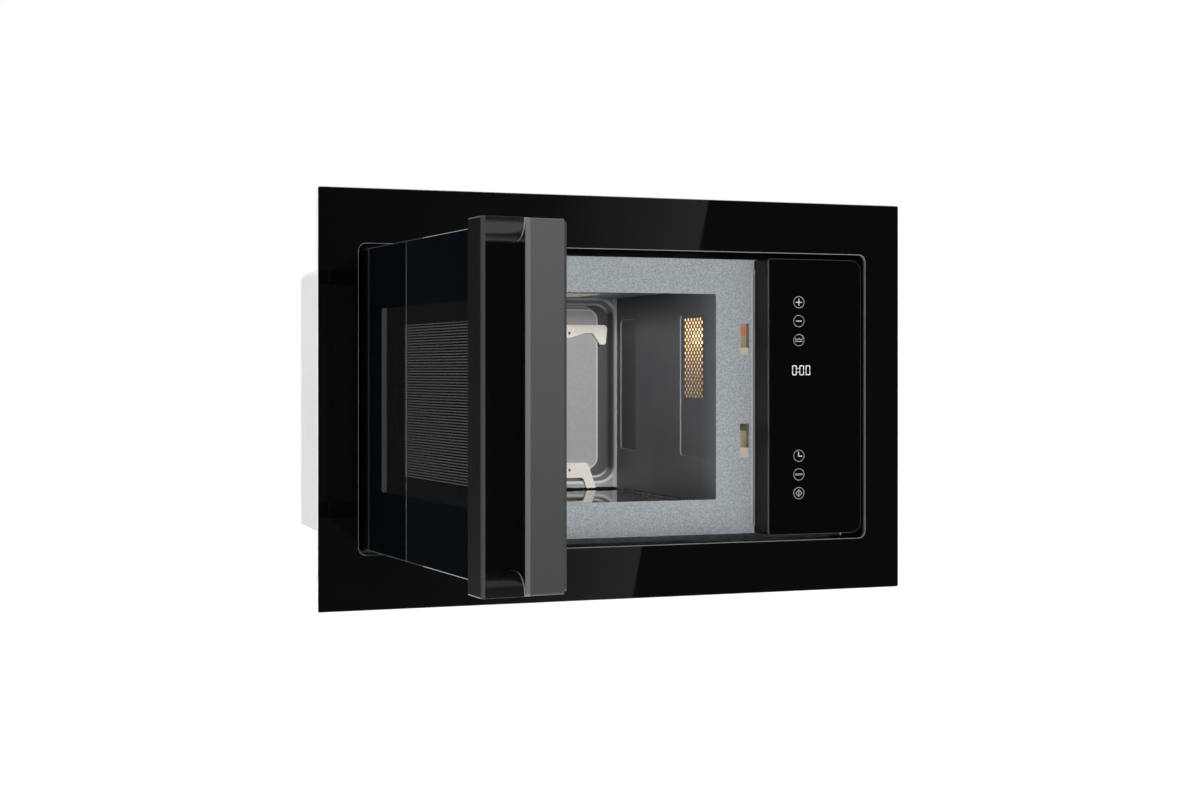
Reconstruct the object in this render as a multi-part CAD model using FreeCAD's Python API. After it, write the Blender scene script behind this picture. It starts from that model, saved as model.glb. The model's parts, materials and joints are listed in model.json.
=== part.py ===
import FreeCAD, Part
import math
import os

# Built-in microwave in millimetres: +X to the right, +Y into the furniture, +Z up.
# The origin is the middle of the trim's seat, where its flange meets the furniture.

# Trim glass and the steel sub-frame behind it
trim_w = 595.0
trim_h = 388.0
trim_glass_t = 4.0
trim_corner_r = 2.0
cutout_w = 519.0
cutout_h = 286.0
cutout_r = 7.0
subframe_sheet = 1.0
subframe_inset = 3.0
subframe_gap = 2.5
subframe_depth = 58.0
fix_rise = 85.0
fix_hole_r = 2.25

# Door and control panel, side by side in the cut-out
door_w = 405.0
edge_gap = 5.5
door_glass_t = 4.0
door_corner_r = 2.0
door_rear_gap = 0.8
front_gap = 2.4
panel_w = 102.4
panel_glass_t = 3.0
panel_outer_r = 11.0
panel_inner_r = 1.5
mouth_depth = 34.5

# Door hinge and the angle at which the door stands open
hinge_in = 12.5
hinge_back = 13.6
hinge_pin_r = 3.0
hinge_pin_fit = 0.05
hinge_pin_in_door = 12.0
hinge_arm_t = 2.0
hinge_arm_half = 9.0
hinge_arm_gap = 0.7
hinge_tab_drop = 40.0
hinge_tab_len = 22.0
door_open = 84.2

# Door make-up, from the outer glass backwards
window_left = 79.0
window_w = 240.0
window_rail = 56.0
door_wall_side = 22.0
door_wall_top = 12.0
door_ledge_t = 4.0
door_frame_lap = 9.0
choke_sheet = 1.0
screen_t = 0.6
screen_lap = 7.0
inner_window_t = 1.0
inner_window_lap = 4.0
choke_cover_t = 2.7
choke_cover_inset = 2.0
glass_ease = 0.5
seat_gap = 0.3

# Handle along the free edge of the door
handle_w = 26.7
handle_t = 3.6
handle_standoff = 31.1
handle_cap_h = 16.7
handle_cap_r = 16.4
handle_chamfer = 1.0
handle_screw_r = 2.0
handle_screw_head_r = 4.0
handle_screw_head_t = 2.2
handle_screw_bite = 12.0

# Latch: hooks on a sprung bar in the door, slots and a latch body in the oven
latch_line = 396.7
latch_slot_w = 10.0
latch_upper = (42.0, 73.5)
latch_lower = (-61.4, -27.5)
latch_travel = 5.0
hook_t = 4.0
hook_h = 5.5
hook_reach = 9.0
hook_neck_h = 3.5
hook_tooth = 4.0
hook_top_gap = 15.0
hook_bar_w = 9.0
hook_bar_t = 4.0
hook_bar_over = 14.0
hook_bar_top = 2.0
spring_r = 2.0
spring_wire = 0.6
spring_len = 18.0
latch_body_depth = 28.0
latch_body_w = 24.0
latch_wall = 2.0
catch_ramp = 5.0
lever_t = 5.0
lever_hub_r = 3.2
lever_reach = 17.0
lever_pin_r = 1.5
lever_pin_fit = 0.05
switch_w = 20.0
switch_h = 10.0
switch_t = 6.4

# Cavity, its front plate and its floor
plate_over = 0.5
plate_sheet = 1.0
plate_return = 9.0
plate_lip = 2.0
plate_lip_foot = 7.5
plate_lip_head = 9.5
cavity_w = 322.0
cavity_left = 43.4
grill_room = 24.5
feed_room = 33.0
cavity_depth = 290.5
cavity_sheet = 0.8
mouth_sill = 7.0
mouth_head = 6.5
mouth_r = 1.5
ceramic_t = 5.0
seal_w = 5.0
seal_drop = 0.5
well_r = 105.0
well_depth = 10.0
groove_depth = 15.0
groove_outer_margin = 2.0
groove_outer_head = 2.0
groove_outer_foot = 8.5
groove_outer_r = 20.0
groove_outer_slope = 4.5
groove_inner_margin = 23.0
groove_inner_head = 12.5
groove_inner_foot = 23.0
groove_inner_r = 13.0
groove_inner_slope = 2.0

# Pressed recesses of the right wall, and the lamp behind the front one
recess_head = 25.5
recess_foot = 47.0
recess_depth = 1.5
recess_r = 5.0
recess_front = (21.5, 96.5)
recess_rear = (60.0, 12.0)
lamp_field = (37.3, 88.4)
lamp_field_head = 1.5
lamp_field_h = 86.0
lamp_hole_r = 1.8
lamp_pitch_y = 4.1
lamp_pitch_z = 6.9
lamp_box_margin = 3.0
lamp_box_w = 40.0
lamp_bulb_r = 9.0
lamp_bulb_out = 16.0
lamp_neck_r = 4.5
lamp_bulb_back = 77.0
lamp_bulb_drop = 23.7
lamp_socket_r = 7.0
lamp_socket_t = 10.0

# Grill over the ceiling, and the moulded rests on the rear wall
grill_field_w = 210.0
grill_field_back = 18.0
grill_field_d = 96.0
grill_hole_r = 2.6
grill_pitch = 10.0
grill_tube_r = 5.0
grill_tube_bore = 3.8
grill_tube_apart = 46.0
grill_tube_rise = 10.0
grill_holder_t = 12.0
grill_holder_w = 18.0
reflector_h = 20.0
reflector_sheet = 0.8
rest_t = 4.0
rest_corner_r = 5.0
rest_foot_r = 2.5
rest_upper_drop = 30.8
rest_upper_h = 9.7
rest_upper_mid_h = 15.2
rest_upper_half = 148.5
rest_upper_flat_in = 26.8
rest_upper_swell_in = 46.5
rest_upper_leg_w = 7.0
rest_upper_leg_h = 22.8
rest_upper_leg_taper = 2.4
rest_upper_leg_slope = 9.0
rest_lower_rise = 31.0
rest_lower_h = 18.0
rest_lower_half = 124.0
rest_lower_foot_in = 123.0
rest_lower_foot_w = 12.0

# Outer cabinet
cabinet_w = 501.0
cabinet_under_trim = 11.5
cabinet_over_trim = 2.5
cabinet_sheet = 0.8
cabinet_corner_r = 10.0
cabinet_rear = 352.0
cabinet_fit = 0.1
base_flange = 10.0
vent_l = 40.0
vent_w = 4.0
vent_pitch = 9.0
vent_rows = 9
vent_inset = 84.0
gland_bore_r = 4.2
gland_r = 7.0
gland_flange_r = 10.0
gland_flange_t = 3.0
gland_inside = 8.0
gland_right = 40.0
gland_rise = 24.0

# Brackets between the sub-frame and the cabinet, and sheet-metal screws
bracket_w = 24.0
bracket_sheet = 1.0
bracket_rise = 60.0
bracket_tab = 20.0
screw_r = 1.8
screw_head_r = 3.6
screw_head_t = 2.0
screw_len = 8.0

# Microwave feed: waveguide, magnetron and the antenna under the floor
guide_w = 80.0
guide_sheet = 0.8
guide_end = 24.0
guide_leg_w = 34.0
guide_leg_top = -20.0
feed_w = 40.0
magnetron_l = 52.0
magnetron_h = 62.0
magnetron_sheet = 2.0
magnetron_above = 12.0
magnetron_core_r = 17.0
magnetron_fins = 8
magnetron_fin_t = 0.6
magnetron_stub_r = 7.0
magnetron_stub_l = 18.0
magnetron_hole_r = 9.0
antenna_r = 76.0
antenna_arms = 3
antenna_t = 1.0
antenna_arm_w = 30.0
antenna_hub_r = 7.0
antenna_hub_h = 3.0
antenna_shaft_r = 2.5
antenna_shaft_fit = 0.05
antenna_shaft_in = 8.0
antenna_motor_r = 20.0

# Power supply and cooling in the right-hand compartment
core_w = 84.0
core_d = 52.0
core_h = 72.0
core_limb = 14.0
core_from_front = 18.0
core_from_side = 10.0
winding_over = 9.0
winding_gap = 0.4
capacitor_w = 50.0
capacitor_d = 32.0
capacitor_h = 84.0
capacitor_from_rear = 30.0
capacitor_from_side = 20.0
terminal_r = 3.0
terminal_h = 10.0
diode_r = 4.0
diode_l = 22.0
diode_gap = 14.0
fan_r = 44.0
fan_hub_r = 13.0
fan_hub_l = 18.0
fan_blades = 7
fan_blade_t = 1.4
fan_blade_root = 10.4
fan_blade_pitch = 32.0
fan_shaft_r = 2.0
fan_shaft_fit = 0.05
fan_shaft_in = 12.0
fan_x = 66.0
fan_z = 32.0
fan_from_rear = 34.0
fan_tip_gap = 2.5
shroud_t = 2.0
shroud_ring_l = 16.0
shroud_margin = 12.0
motor_w = 46.0
motor_h = 56.0
motor_l = 20.0
motor_gap = 3.0
motor_post_r = 3.0
motor_post_in = 8.0
board_t = 1.6
filter_w = 70.0
filter_h = 32.0
filter_post = 6.0
filter_choke_r = 10.5
thermostat_r = 8.0
thermostat_t = 6.0

# Control box: housing, boards and display
housing_wall = 2.0
board_edge = 6.0
board_post_r = 3.0
power_board_back = 24.0
power_board_half = 100.0
display_w = 22.0
display_h = 12.0
display_x = 35.4
display_z = 26.5
display_frame = 6.0
display_deep = 8.0
relay_count = 3
relay_w = 16.0
relay_d = 12.0
connector_window_w = 46.0
connector_window_h = 120.0

# Running clearance between pieces that pass each other
swing_gap = 0.5

# Planes and edges that follow from the sizes above
V = FreeCAD.Vector
front = -(trim_glass_t + subframe_sheet)
plate_y = front + mouth_depth
plate_back = plate_y + plate_sheet
wall_x = cutout_w / 2 + subframe_gap
wall_z = cutout_h / 2 + subframe_gap
cabinet_top = wall_z - cabinet_under_trim
cabinet_bottom = cabinet_over_trim - wall_z
cavity_top = cabinet_top - grill_room
cavity_floor = cabinet_bottom + feed_room
group_w = door_w + front_gap + panel_w
door_x0 = -group_w / 2
door_x1 = door_x0 + door_w
door_z = cutout_h / 2 - edge_gap
door_rear = plate_y - door_rear_gap
panel_x0 = door_x1 + front_gap
panel_x1 = panel_x0 + panel_w
hinge_x = door_x0 + hinge_in
hinge_y = front + hinge_back
hinge_sweep = mouth_depth - hinge_back - swing_gap
latch_x = door_x0 + latch_line
cav_x0 = door_x0 + cavity_left
cav_x1 = cav_x0 + cavity_w
cav_mid = (cav_x0 + cav_x1) / 2
cav_y1 = plate_y + cavity_depth
plate_z = door_z + plate_over
floor_under = cavity_floor - ceramic_t
well_y = (plate_back + cav_y1) / 2
well_under = floor_under - well_depth - cavity_sheet
cab_x = cabinet_w / 2
cab_in = cab_x - cabinet_sheet
base_top = cabinet_bottom + cabinet_sheet
rear_out = front + cabinet_rear
rear_in = rear_out - cabinet_sheet
works_x0 = cav_x1 + cavity_sheet


def place(plane, u, v, w):
    """Point at u, v in a plane and w across it."""
    if plane == "xz":
        return V(u, w, v)
    if plane == "yz":
        return V(w, u, v)
    return V(u, v, w)


def box(x, y, z):
    """Block between two limits on each axis."""
    return Part.makeBox(x[1] - x[0], y[1] - y[0], z[1] - z[0], V(x[0], y[0], z[0]))


def outline(plane, corners, w):
    """Closed wire at level w through corners given as u, v and the radius that rounds them."""
    points = [V(u, v, 0) for u, v, radius in corners]
    turns = []
    for index, (u, v, radius) in enumerate(corners):
        corner = points[index]
        if radius == 0:
            turns.append((corner, corner, corner))
            continue
        back = (points[index - 1] - corner).normalize()
        ahead = (points[(index + 1) % len(points)] - corner).normalize()
        half = back.getAngle(ahead) / 2
        reach = radius / math.tan(half)
        crown = (back + ahead).normalize() * (radius / math.sin(half) - radius)
        turns.append((corner + back * reach, corner + crown, corner + ahead * reach))
    edges = []
    for index, turn in enumerate(turns):
        first, middle, last = [place(plane, point.x, point.y, w) for point in turn]
        before = place(plane, turns[index - 1][2].x, turns[index - 1][2].y, w)
        edges.append(Part.LineSegment(before, first).toShape())
        if first != last:
            edges.append(Part.Arc(first, middle, last).toShape())
    return Part.Wire(edges)


def rectangle(u, v, r):
    """Corners of a rectangle, with one radius or a radius for each."""
    radii = r if isinstance(r, tuple) else (r, r, r, r)
    sides = ((u[0], v[0]), (u[1], v[0]), (u[1], v[1]), (u[0], v[1]))
    return [(*corner, radius) for corner, radius in zip(sides, radii)]


def slab(plane, u, v, w, r=0.0):
    """Flat piece over u and v with rounded corners, its thickness between the limits w."""
    return Part.Face(outline(plane, rectangle(u, v, r), w[0])).extrude(place(plane, 0, 0, w[1] - w[0]))


def tapered(plane, near, far, w):
    """Block from one rounded rectangle to another, each given as u, v and corner radius."""
    rims = [outline(plane, rectangle(*rim), level) for rim, level in zip((near, far), w)]
    return Part.makeLoft(rims, True, True)


def prism(plane, points, w):
    """Outline of u, v points, with a radius where a corner is rounded, extruded between the limits w."""
    corners = [(*point, 0.0)[:3] for point in points]
    return Part.Face(outline(plane, corners, w[0])).extrude(place(plane, 0, 0, w[1] - w[0]))


def rod(axis, centre, radius, span):
    """Round bar along an axis, centred on the other two coordinates."""
    if axis == "x":
        return Part.makeCylinder(radius, span[1] - span[0], V(span[0], *centre), V(1, 0, 0))
    if axis == "y":
        return Part.makeCylinder(radius, span[1] - span[0], V(centre[0], span[0], centre[1]), V(0, 1, 0))
    return Part.makeCylinder(radius, span[1] - span[0], V(*centre, span[0]), V(0, 0, 1))


def join(shapes):
    """One solid from pieces that touch."""
    return shapes[0].multiFuse(shapes[1:]).removeSplitter()


def both(limit):
    """Limits the same distance either side of zero."""
    return (-limit, limit)


def grown(limits, margin):
    """Limits moved outwards by a margin, or inwards by a negative one."""
    return (limits[0] - margin, limits[1] + margin)


def swung(shape):
    """Door piece, drawn shut, turned to where the open door stands."""
    turned = shape.copy()
    turned.rotate(V(hinge_x, hinge_y, 0), V(0, 0, 1), -door_open)
    return turned


def trim_glass():
    """Black glass frame with the cut-out for the door and the control panel."""
    y = (front, front + trim_glass_t)
    pane = slab("xz", both(trim_w / 2), both(trim_h / 2), y, trim_corner_r)
    pane = pane.cut(slab("xz", both(cutout_w / 2), both(cutout_h / 2), y, cutout_r))
    return eased(pane, front, glass_ease)


def trim_frame():
    """Folded steel tray behind the glass: a flange, walls, and a back with fixing holes."""
    flange_x = trim_w / 2 - subframe_inset
    flange_z = trim_h / 2 - subframe_inset
    flange = box(both(flange_x), (-subframe_sheet, 0), both(flange_z))
    walls_y = (-subframe_sheet, subframe_depth)
    walls = box(both(wall_x + subframe_sheet), walls_y, both(wall_z + subframe_sheet))
    back_y = (subframe_depth - subframe_sheet, subframe_depth)
    opening = box(both(wall_x), (-subframe_sheet, back_y[0]), both(wall_z))
    passage_r = cabinet_corner_r + swing_gap
    passage_z = grown((cabinet_bottom, cabinet_top), swing_gap)
    passage = slab("xz", both(cab_x + swing_gap), passage_z, back_y, (0.0, 0.0, passage_r, passage_r))
    holes = []
    for side in (-1, 1):
        for level in (-1, 1):
            centre = (side * (cab_x + swing_gap + wall_x) / 2, level * fix_rise)
            holes.append(rod("y", centre, fix_hole_r, back_y))
    return join([flange, walls]).cut(opening).cut(passage).cut(Part.makeCompound(holes))


def bracket_places():
    """Side and height of each bracket between the sub-frame and the cabinet."""
    return [(side, level * bracket_rise) for side in (-1, 1) for level in (-1, 1)]


def trim_brackets():
    """Folded strips from the back of the sub-frame to the cabinet's sides."""
    strips = []
    for side, level in bracket_places():
        z = (level - bracket_w / 2, level + bracket_w / 2)
        on_back = sorted((side * wall_x, side * cab_x))
        on_side = sorted((side * cab_x, side * (cab_x + bracket_sheet)))
        back_leg = box(on_back, (subframe_depth, subframe_depth + bracket_sheet), z)
        side_leg = box(on_side, (subframe_depth, subframe_depth + bracket_tab), z)
        hole = rod("x", (bracket_screw_y(), level), screw_r, on_side)
        strips.append(join([back_leg, side_leg]).cut(hole))
    return Part.makeCompound(strips)


def bracket_screw_y():
    """Depth of the screw through a bracket's tab on the cabinet."""
    return subframe_depth + bracket_tab / 2


# Door, drawn shut: planes behind the outer glass, the window and the hook heights
frame_y0 = front + door_glass_t
ledge_back = frame_y0 + door_ledge_t
frame_y1 = door_rear - choke_cover_t
window_x = (door_x0 + window_left, door_x0 + window_left + window_w)
window_z = both(door_z - window_rail)
frame_open_x = (door_x0 + door_wall_side, door_x1 - door_wall_side)
frame_open_z = both(door_z - door_wall_top)
handle_x = (door_x1 - handle_w, door_x1)
handle_screw_x = door_x1 - handle_w / 2
handle_screw_z = door_z - handle_cap_h / 2
hook_tops = [slot[1] - hook_top_gap for slot in (latch_lower, latch_upper)]
bar_z = (hook_tops[0] - hook_h - hook_bar_over, hook_tops[1] + hook_bar_top)
bar_y = (frame_y1 - seat_gap - hook_bar_t, frame_y1 - seat_gap)


def eased(shape, y, size):
    """Piece with the edges of its face at depth y ground to a small chamfer."""
    rim = []
    for edge in shape.Edges:
        if all(abs(vertex.Y - y) < 1e-6 for vertex in edge.Vertexes):
            rim.append(edge)
    return shape.makeChamfer(size, rim)


def hinge_keep():
    """Room that the door has beside its hinge as it swings past the front plate."""
    beyond = box((hinge_x, door_x1), (front, door_rear), both(door_z))
    return join([beyond, rod("z", (hinge_x, hinge_y), hinge_sweep, both(door_z))])


def door_glass():
    """Outer glass of the door, with a hole for each handle screw."""
    pane = slab("xz", (door_x0, door_x1), both(door_z), (front, frame_y0), door_corner_r)
    pane = eased(pane, front, glass_ease)
    for level in (-1, 1):
        hole = rod("y", (handle_screw_x, level * handle_screw_z), handle_screw_r, (front, frame_y0))
        pane = pane.cut(hole)
    return pane


def door_frame():
    """Moulded ring behind the glass, with a ledge for the choke and a channel for the hook bar."""
    ring = slab("xz", (door_x0, door_x1), both(door_z), (frame_y0, frame_y1), door_corner_r)
    ring = ring.common(hinge_keep())
    lap = -door_frame_lap
    through = box(grown(frame_open_x, lap), (frame_y0, frame_y1), grown(frame_open_z, lap))
    pocket = box(frame_open_x, (ledge_back, frame_y1), frame_open_z)
    channel_x = (latch_x - hook_bar_w / 2 - seat_gap, latch_x + hook_bar_w / 2 + seat_gap)
    channel_z = (bar_z[0] - spring_len - seat_gap, bar_z[1] + seat_gap)
    channel = box(channel_x, (bar_y[0] - seat_gap, frame_y1), channel_z)
    ring = ring.cut(through).cut(pocket).cut(channel)
    head_y = (frame_y0, frame_y0 + handle_screw_head_t)
    for level in (-1, 1):
        ends = sorted((level * (door_z - hinge_pin_in_door), level * door_z))
        ring = ring.cut(rod("z", (hinge_x, hinge_y), hinge_pin_r, ends))
        ring = ring.cut(rod("y", (handle_screw_x, level * handle_screw_z), handle_screw_head_r, head_y))
    return ring


def door_choke():
    """Folded steel channel round the window that traps the microwaves."""
    y = (ledge_back, frame_y1 - inner_window_t)
    outer_x = grown(frame_open_x, -seat_gap)
    outer_z = grown(frame_open_z, -seat_gap)
    ring = box(outer_x, y, outer_z).cut(box(window_x, y, window_z))
    groove_y = (y[0] + choke_sheet, y[1])
    groove = box(grown(outer_x, -choke_sheet), groove_y, grown(outer_z, -choke_sheet))
    island = box(grown(window_x, choke_sheet), groove_y, grown(window_z, choke_sheet))
    return ring.cut(groove.cut(island))


def door_screen():
    """Perforated sheet over the window, against the front of the choke."""
    y = (ledge_back - screen_t, ledge_back)
    return box(grown(window_x, screen_lap), y, grown(window_z, screen_lap))


def inner_window():
    """Clear pane that closes the window on the oven's side."""
    y = (frame_y1 - inner_window_t, frame_y1)
    return box(grown(window_x, inner_window_lap), y, grown(window_z, inner_window_lap))


def choke_cover():
    """Moulded inner face of the door, with slots that the hooks move in."""
    y = (frame_y1, door_rear)
    x = (door_x0 + choke_cover_inset, door_x1 - choke_cover_inset)
    cover = slab("xz", x, both(door_z - choke_cover_inset), y, door_corner_r).common(hinge_keep())
    cover = cover.cut(box(window_x, y, window_z))
    slot_x = (latch_x - hook_t / 2 - seat_gap, latch_x + hook_t / 2 + seat_gap)
    for top in hook_tops:
        slot_z = (top - hook_neck_h - latch_travel - seat_gap, top + seat_gap)
        cover = cover.cut(box(slot_x, y, slot_z))
    return cover


def hinge_pins():
    """Steel pins pressed into the top and bottom of the door frame."""
    inner = door_z - hinge_pin_in_door
    outer = door_z + hinge_arm_gap + hinge_arm_t
    spans = [(inner, outer), (-outer, -inner)]
    return Part.makeCompound([rod("z", (hinge_x, hinge_y), hinge_pin_r, span) for span in spans])


def handle_plate():
    """Brushed bar that is pulled to open the door."""
    y = (front - handle_standoff - handle_t, front - handle_standoff)
    return eased(box(handle_x, y, both(door_z)), y[0], handle_chamfer)


def handle_caps():
    """End pieces between the bar and the glass, rounded towards the free edge."""
    y = (front - handle_standoff, front)
    bite = (front - handle_screw_bite, front)
    caps = []
    for level in (-1, 1):
        z = sorted((level * (door_z - handle_cap_h), level * door_z))
        radii = (0.0, handle_cap_r, 0.0, 0.0) if level > 0 else (0.0, 0.0, handle_cap_r, 0.0)
        cap = slab("xz", handle_x, z, y, radii)
        caps.append(cap.cut(rod("y", (handle_screw_x, level * handle_screw_z), handle_screw_r, bite)))
    return Part.makeCompound(caps)


def handle_screws():
    """Screws from inside the door through the glass into the handle's end pieces."""
    screws = []
    for level in (-1, 1):
        centre = (handle_screw_x, level * handle_screw_z)
        shank = rod("y", centre, handle_screw_r, (front - handle_screw_bite, frame_y0))
        head = rod("y", centre, handle_screw_head_r, (frame_y0, frame_y0 + handle_screw_head_t))
        screws.append(join([shank, head]))
    return Part.makeCompound(screws)


def latch_hooks():
    """Bar in the door's free edge with two hooks that reach through the inner face."""
    bar = box((latch_x - hook_bar_w / 2, latch_x + hook_bar_w / 2), bar_y, bar_z)
    pieces = [bar]
    tip = door_rear + hook_reach
    hook_x = (latch_x - hook_t / 2, latch_x + hook_t / 2)
    for top in hook_tops:
        low = top - hook_neck_h
        tooth = top - hook_h
        outline = [
            (bar_y[0], low),
            (tip - hook_tooth, low),
            (tip - hook_tooth, tooth),
            (tip - hook_tooth / 2, tooth),
            (tip, low),
            (tip, top),
            (bar_y[0], top),
        ]
        pieces.append(prism("yz", outline, hook_x))
    return join(pieces)


def latch_spring():
    """Coil under the hook bar, as its plain outer sleeve."""
    centre = (latch_x, (bar_y[0] + bar_y[1]) / 2)
    span = (bar_z[0] - spring_len, bar_z[0])
    return rod("z", centre, spring_r, span).cut(rod("z", centre, spring_r - spring_wire, span))


def hinge_brackets():
    """Steel arms above and below the door, folded down on to the cabinet's left side."""
    side_x = (-cab_x - hinge_arm_t, -cab_x)
    arm_x = (side_x[0], hinge_x + hinge_arm_half)
    arm_y = (hinge_y - hinge_arm_half, plate_back)
    tab_y = (plate_back + hinge_arm_t, plate_back + hinge_arm_t + hinge_tab_len)
    arms = []
    for level in (-1, 1):
        inner = door_z + hinge_arm_gap
        outer = inner + hinge_arm_t
        arm_z = sorted((level * inner, level * outer))
        tab_z = sorted((level * outer, level * (outer - hinge_tab_drop)))
        rail = box(side_x, (arm_y[0], tab_y[1]), arm_z)
        arm = join([box(arm_x, arm_y, arm_z), rail, box(side_x, tab_y, tab_z)])
        arm = arm.cut(rod("z", (hinge_x, hinge_y), hinge_pin_r + hinge_pin_fit, arm_z))
        arms.append(arm.cut(rod("x", hinge_screw(level), screw_r, side_x)))
    return Part.makeCompound(arms)


def hinge_screw(level):
    """Depth and height of the screw that holds a hinge arm's tab."""
    return (plate_back + hinge_arm_t + hinge_tab_len / 2, level * (door_z - hinge_tab_drop / 2))


# Cavity: outer faces of its sheets, the grill field and the lamp field
ceiling_top = cavity_top + cavity_sheet
pan_x = (cav_x0 - cavity_sheet, cav_x1 + cavity_sheet)
cavity_y = (plate_back, cav_y1)
panel_mid = (panel_x0 + panel_x1) / 2
connector_x = (panel_mid - connector_window_w / 2, panel_mid + connector_window_w / 2)
grill_x = (cav_mid - grill_field_w / 2, cav_mid + grill_field_w / 2)
grill_y = (cav_y1 - grill_field_back - grill_field_d, cav_y1 - grill_field_back)
lamp_y = (plate_y + lamp_field[0], plate_y + lamp_field[1])
recess_z = (cavity_floor + recess_foot, cavity_top - recess_head)
lamp_z = (recess_z[1] - lamp_field_head - lamp_field_h, recess_z[1] - lamp_field_head)
lamp_bulb_z = recess_z[1] - lamp_bulb_drop
lamp_x0 = works_x0 + recess_depth
lamp_x1 = lamp_x0 + lamp_box_w


def front_plate():
    """Grey sheet round the oven's mouth, with latch slots, a lip and folded returns."""
    y = (plate_y, plate_back)
    plate = box(both(cab_x), y, both(plate_z))
    mouth_z = (cavity_floor + mouth_sill, cavity_top - mouth_head)
    plate = plate.cut(slab("xz", (cav_x0, cav_x1), mouth_z, y, mouth_r))
    for slot in (latch_lower, latch_upper):
        plate = plate.cut(box((latch_x - latch_slot_w / 2, latch_x + latch_slot_w / 2), y, slot))
    plate = plate.cut(box(connector_x, y, both(connector_window_h / 2)))
    lip_z = (plate_lip_foot - door_z, door_z - plate_lip_head)
    lip = box((panel_x0 - front_gap / 2, panel_x0), (plate_y - plate_lip, plate_y), lip_z)
    return_x = cab_in - cabinet_sheet - cabinet_fit
    return_top = cabinet_top - cabinet_sheet - cabinet_fit
    return_y = (plate_back, plate_back + plate_return)
    fold_r = cabinet_corner_r
    bend_r = fold_r - plate_sheet
    folds = slab("xz", both(return_x), (-plate_z, return_top), return_y, (0.0, 0.0, fold_r, fold_r))
    inside_z = (-plate_z, return_top - plate_sheet)
    inside = slab("xz", both(return_x - plate_sheet), inside_z, return_y, (0.0, 0.0, bend_r, bend_r))
    return join([plate, lip, folds.cut(inside)])


def cavity_left_wall():
    """Left side of the cavity."""
    return box((pan_x[0], cav_x0), cavity_y, (floor_under, cavity_top))


def cavity_ceiling():
    """Top of the cavity, punched with holes under the grill."""
    sheet = box(pan_x, cavity_y, (cavity_top, ceiling_top))
    holes = []
    columns = int(grill_field_w / grill_pitch)
    rows = int(grill_field_d / grill_pitch)
    for column in range(columns):
        for row in range(rows):
            x = cav_mid + (column - (columns - 1) / 2) * grill_pitch
            y = (grill_y[0] + grill_y[1]) / 2 + (row - (rows - 1) / 2) * grill_pitch
            holes.append(rod("z", (x, y), grill_hole_r, (cavity_top, ceiling_top)))
    return sheet.cut(Part.makeCompound(holes))


def cavity_right_wall():
    """Right side of the cavity with two pressed recesses, the front one punched for the lamp."""
    wall = box((cav_x1, works_x0), cavity_y, (floor_under, cavity_top))
    front_y = (plate_y + recess_front[0], plate_y + recess_front[1])
    rear_y = (cav_y1 - recess_rear[0], cav_y1 - recess_rear[1])
    pan_depth = (cav_x1, works_x0 + recess_depth)
    pan_z = grown(recess_z, cavity_sheet)
    for y in (front_y, rear_y):
        pan = slab("yz", grown(y, cavity_sheet), pan_z, pan_depth, recess_r + cavity_sheet)
        hollow = slab("yz", y, recess_z, (cav_x1, cav_x1 + recess_depth), recess_r)
        wall = wall.fuse(pan).cut(hollow)
    holes = []
    columns = int((lamp_y[1] - lamp_y[0] - 2 * lamp_hole_r) / lamp_pitch_y) + 1
    rows = int((lamp_field_h - 2 * lamp_hole_r) / lamp_pitch_z + 0.5)
    for column in range(columns):
        for row in range(rows):
            y = (lamp_y[0] + lamp_y[1]) / 2 + (column - (columns - 1) / 2) * lamp_pitch_y
            stagger = 0.25 if column % 2 else -0.25
            level = (lamp_z[0] + lamp_z[1]) / 2 + (row - (rows - 1) / 2 + stagger) * lamp_pitch_z
            holes.append(rod("x", (y, level), lamp_hole_r, (cav_x1, lamp_x0)))
    return wall.cut(Part.makeCompound(holes)).removeSplitter()


def pressed(x, z, r, slope, y, skin):
    """Rounded rectangle, grown by a skin, that widens by a slope over the depth of the groove."""
    near = (grown(x, skin), grown(z, skin), r + skin)
    far = (grown(x, skin + slope), grown(z, skin + slope), r + skin + slope)
    return tapered("xz", near, far, (y, y + groove_depth))


def cavity_rear_wall():
    """Rear of the cavity, with a wide groove pressed back round its flat middle."""
    back = cav_y1 + cavity_sheet
    sheet = box(pan_x, (cav_y1, back), (floor_under, ceiling_top))
    outer_x = grown((cav_x0, cav_x1), -groove_outer_margin)
    outer_z = (cavity_floor + groove_outer_foot, cavity_top - groove_outer_head)
    inner_x = grown((cav_x0, cav_x1), -groove_inner_margin)
    inner_z = (cavity_floor + groove_inner_foot, cavity_top - groove_inner_head)
    outside = pressed(outer_x, outer_z, groove_outer_r, -groove_outer_slope, back, cavity_sheet)
    behind = pressed(inner_x, inner_z, groove_inner_r, groove_inner_slope, back, -cavity_sheet)
    hollow = pressed(outer_x, outer_z, groove_outer_r, -groove_outer_slope, cav_y1, 0.0)
    middle = pressed(inner_x, inner_z, groove_inner_r, groove_inner_slope, cav_y1, 0.0)
    return sheet.fuse(outside.cut(behind)).cut(hollow.cut(middle)).removeSplitter()


def cavity_floor_pan():
    """Steel floor under the ceramic, with a round well for the antenna and the feed opening."""
    pan = box(pan_x, (plate_back, cav_y1 + cavity_sheet), (floor_under - cavity_sheet, floor_under))
    well = rod("z", (cav_mid, well_y), well_r + cavity_sheet, (well_under, floor_under))
    hollow = rod("z", (cav_mid, well_y), well_r, (well_under + cavity_sheet, floor_under))
    shaft_hole = rod("z", (cav_mid, well_y), antenna_shaft_r + swing_gap, (well_under, floor_under))
    feed = box(feed_x, feed_y, (well_under, floor_under))
    return join([pan, well]).cut(hollow).cut(shaft_hole).cut(feed)


def ceramic_floor():
    """Flat glass-ceramic plate that food stands on."""
    x = grown((cav_x0, cav_x1), -seal_w)
    return box(x, grown(cavity_y, -seal_w), (floor_under, cavity_floor))


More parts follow.
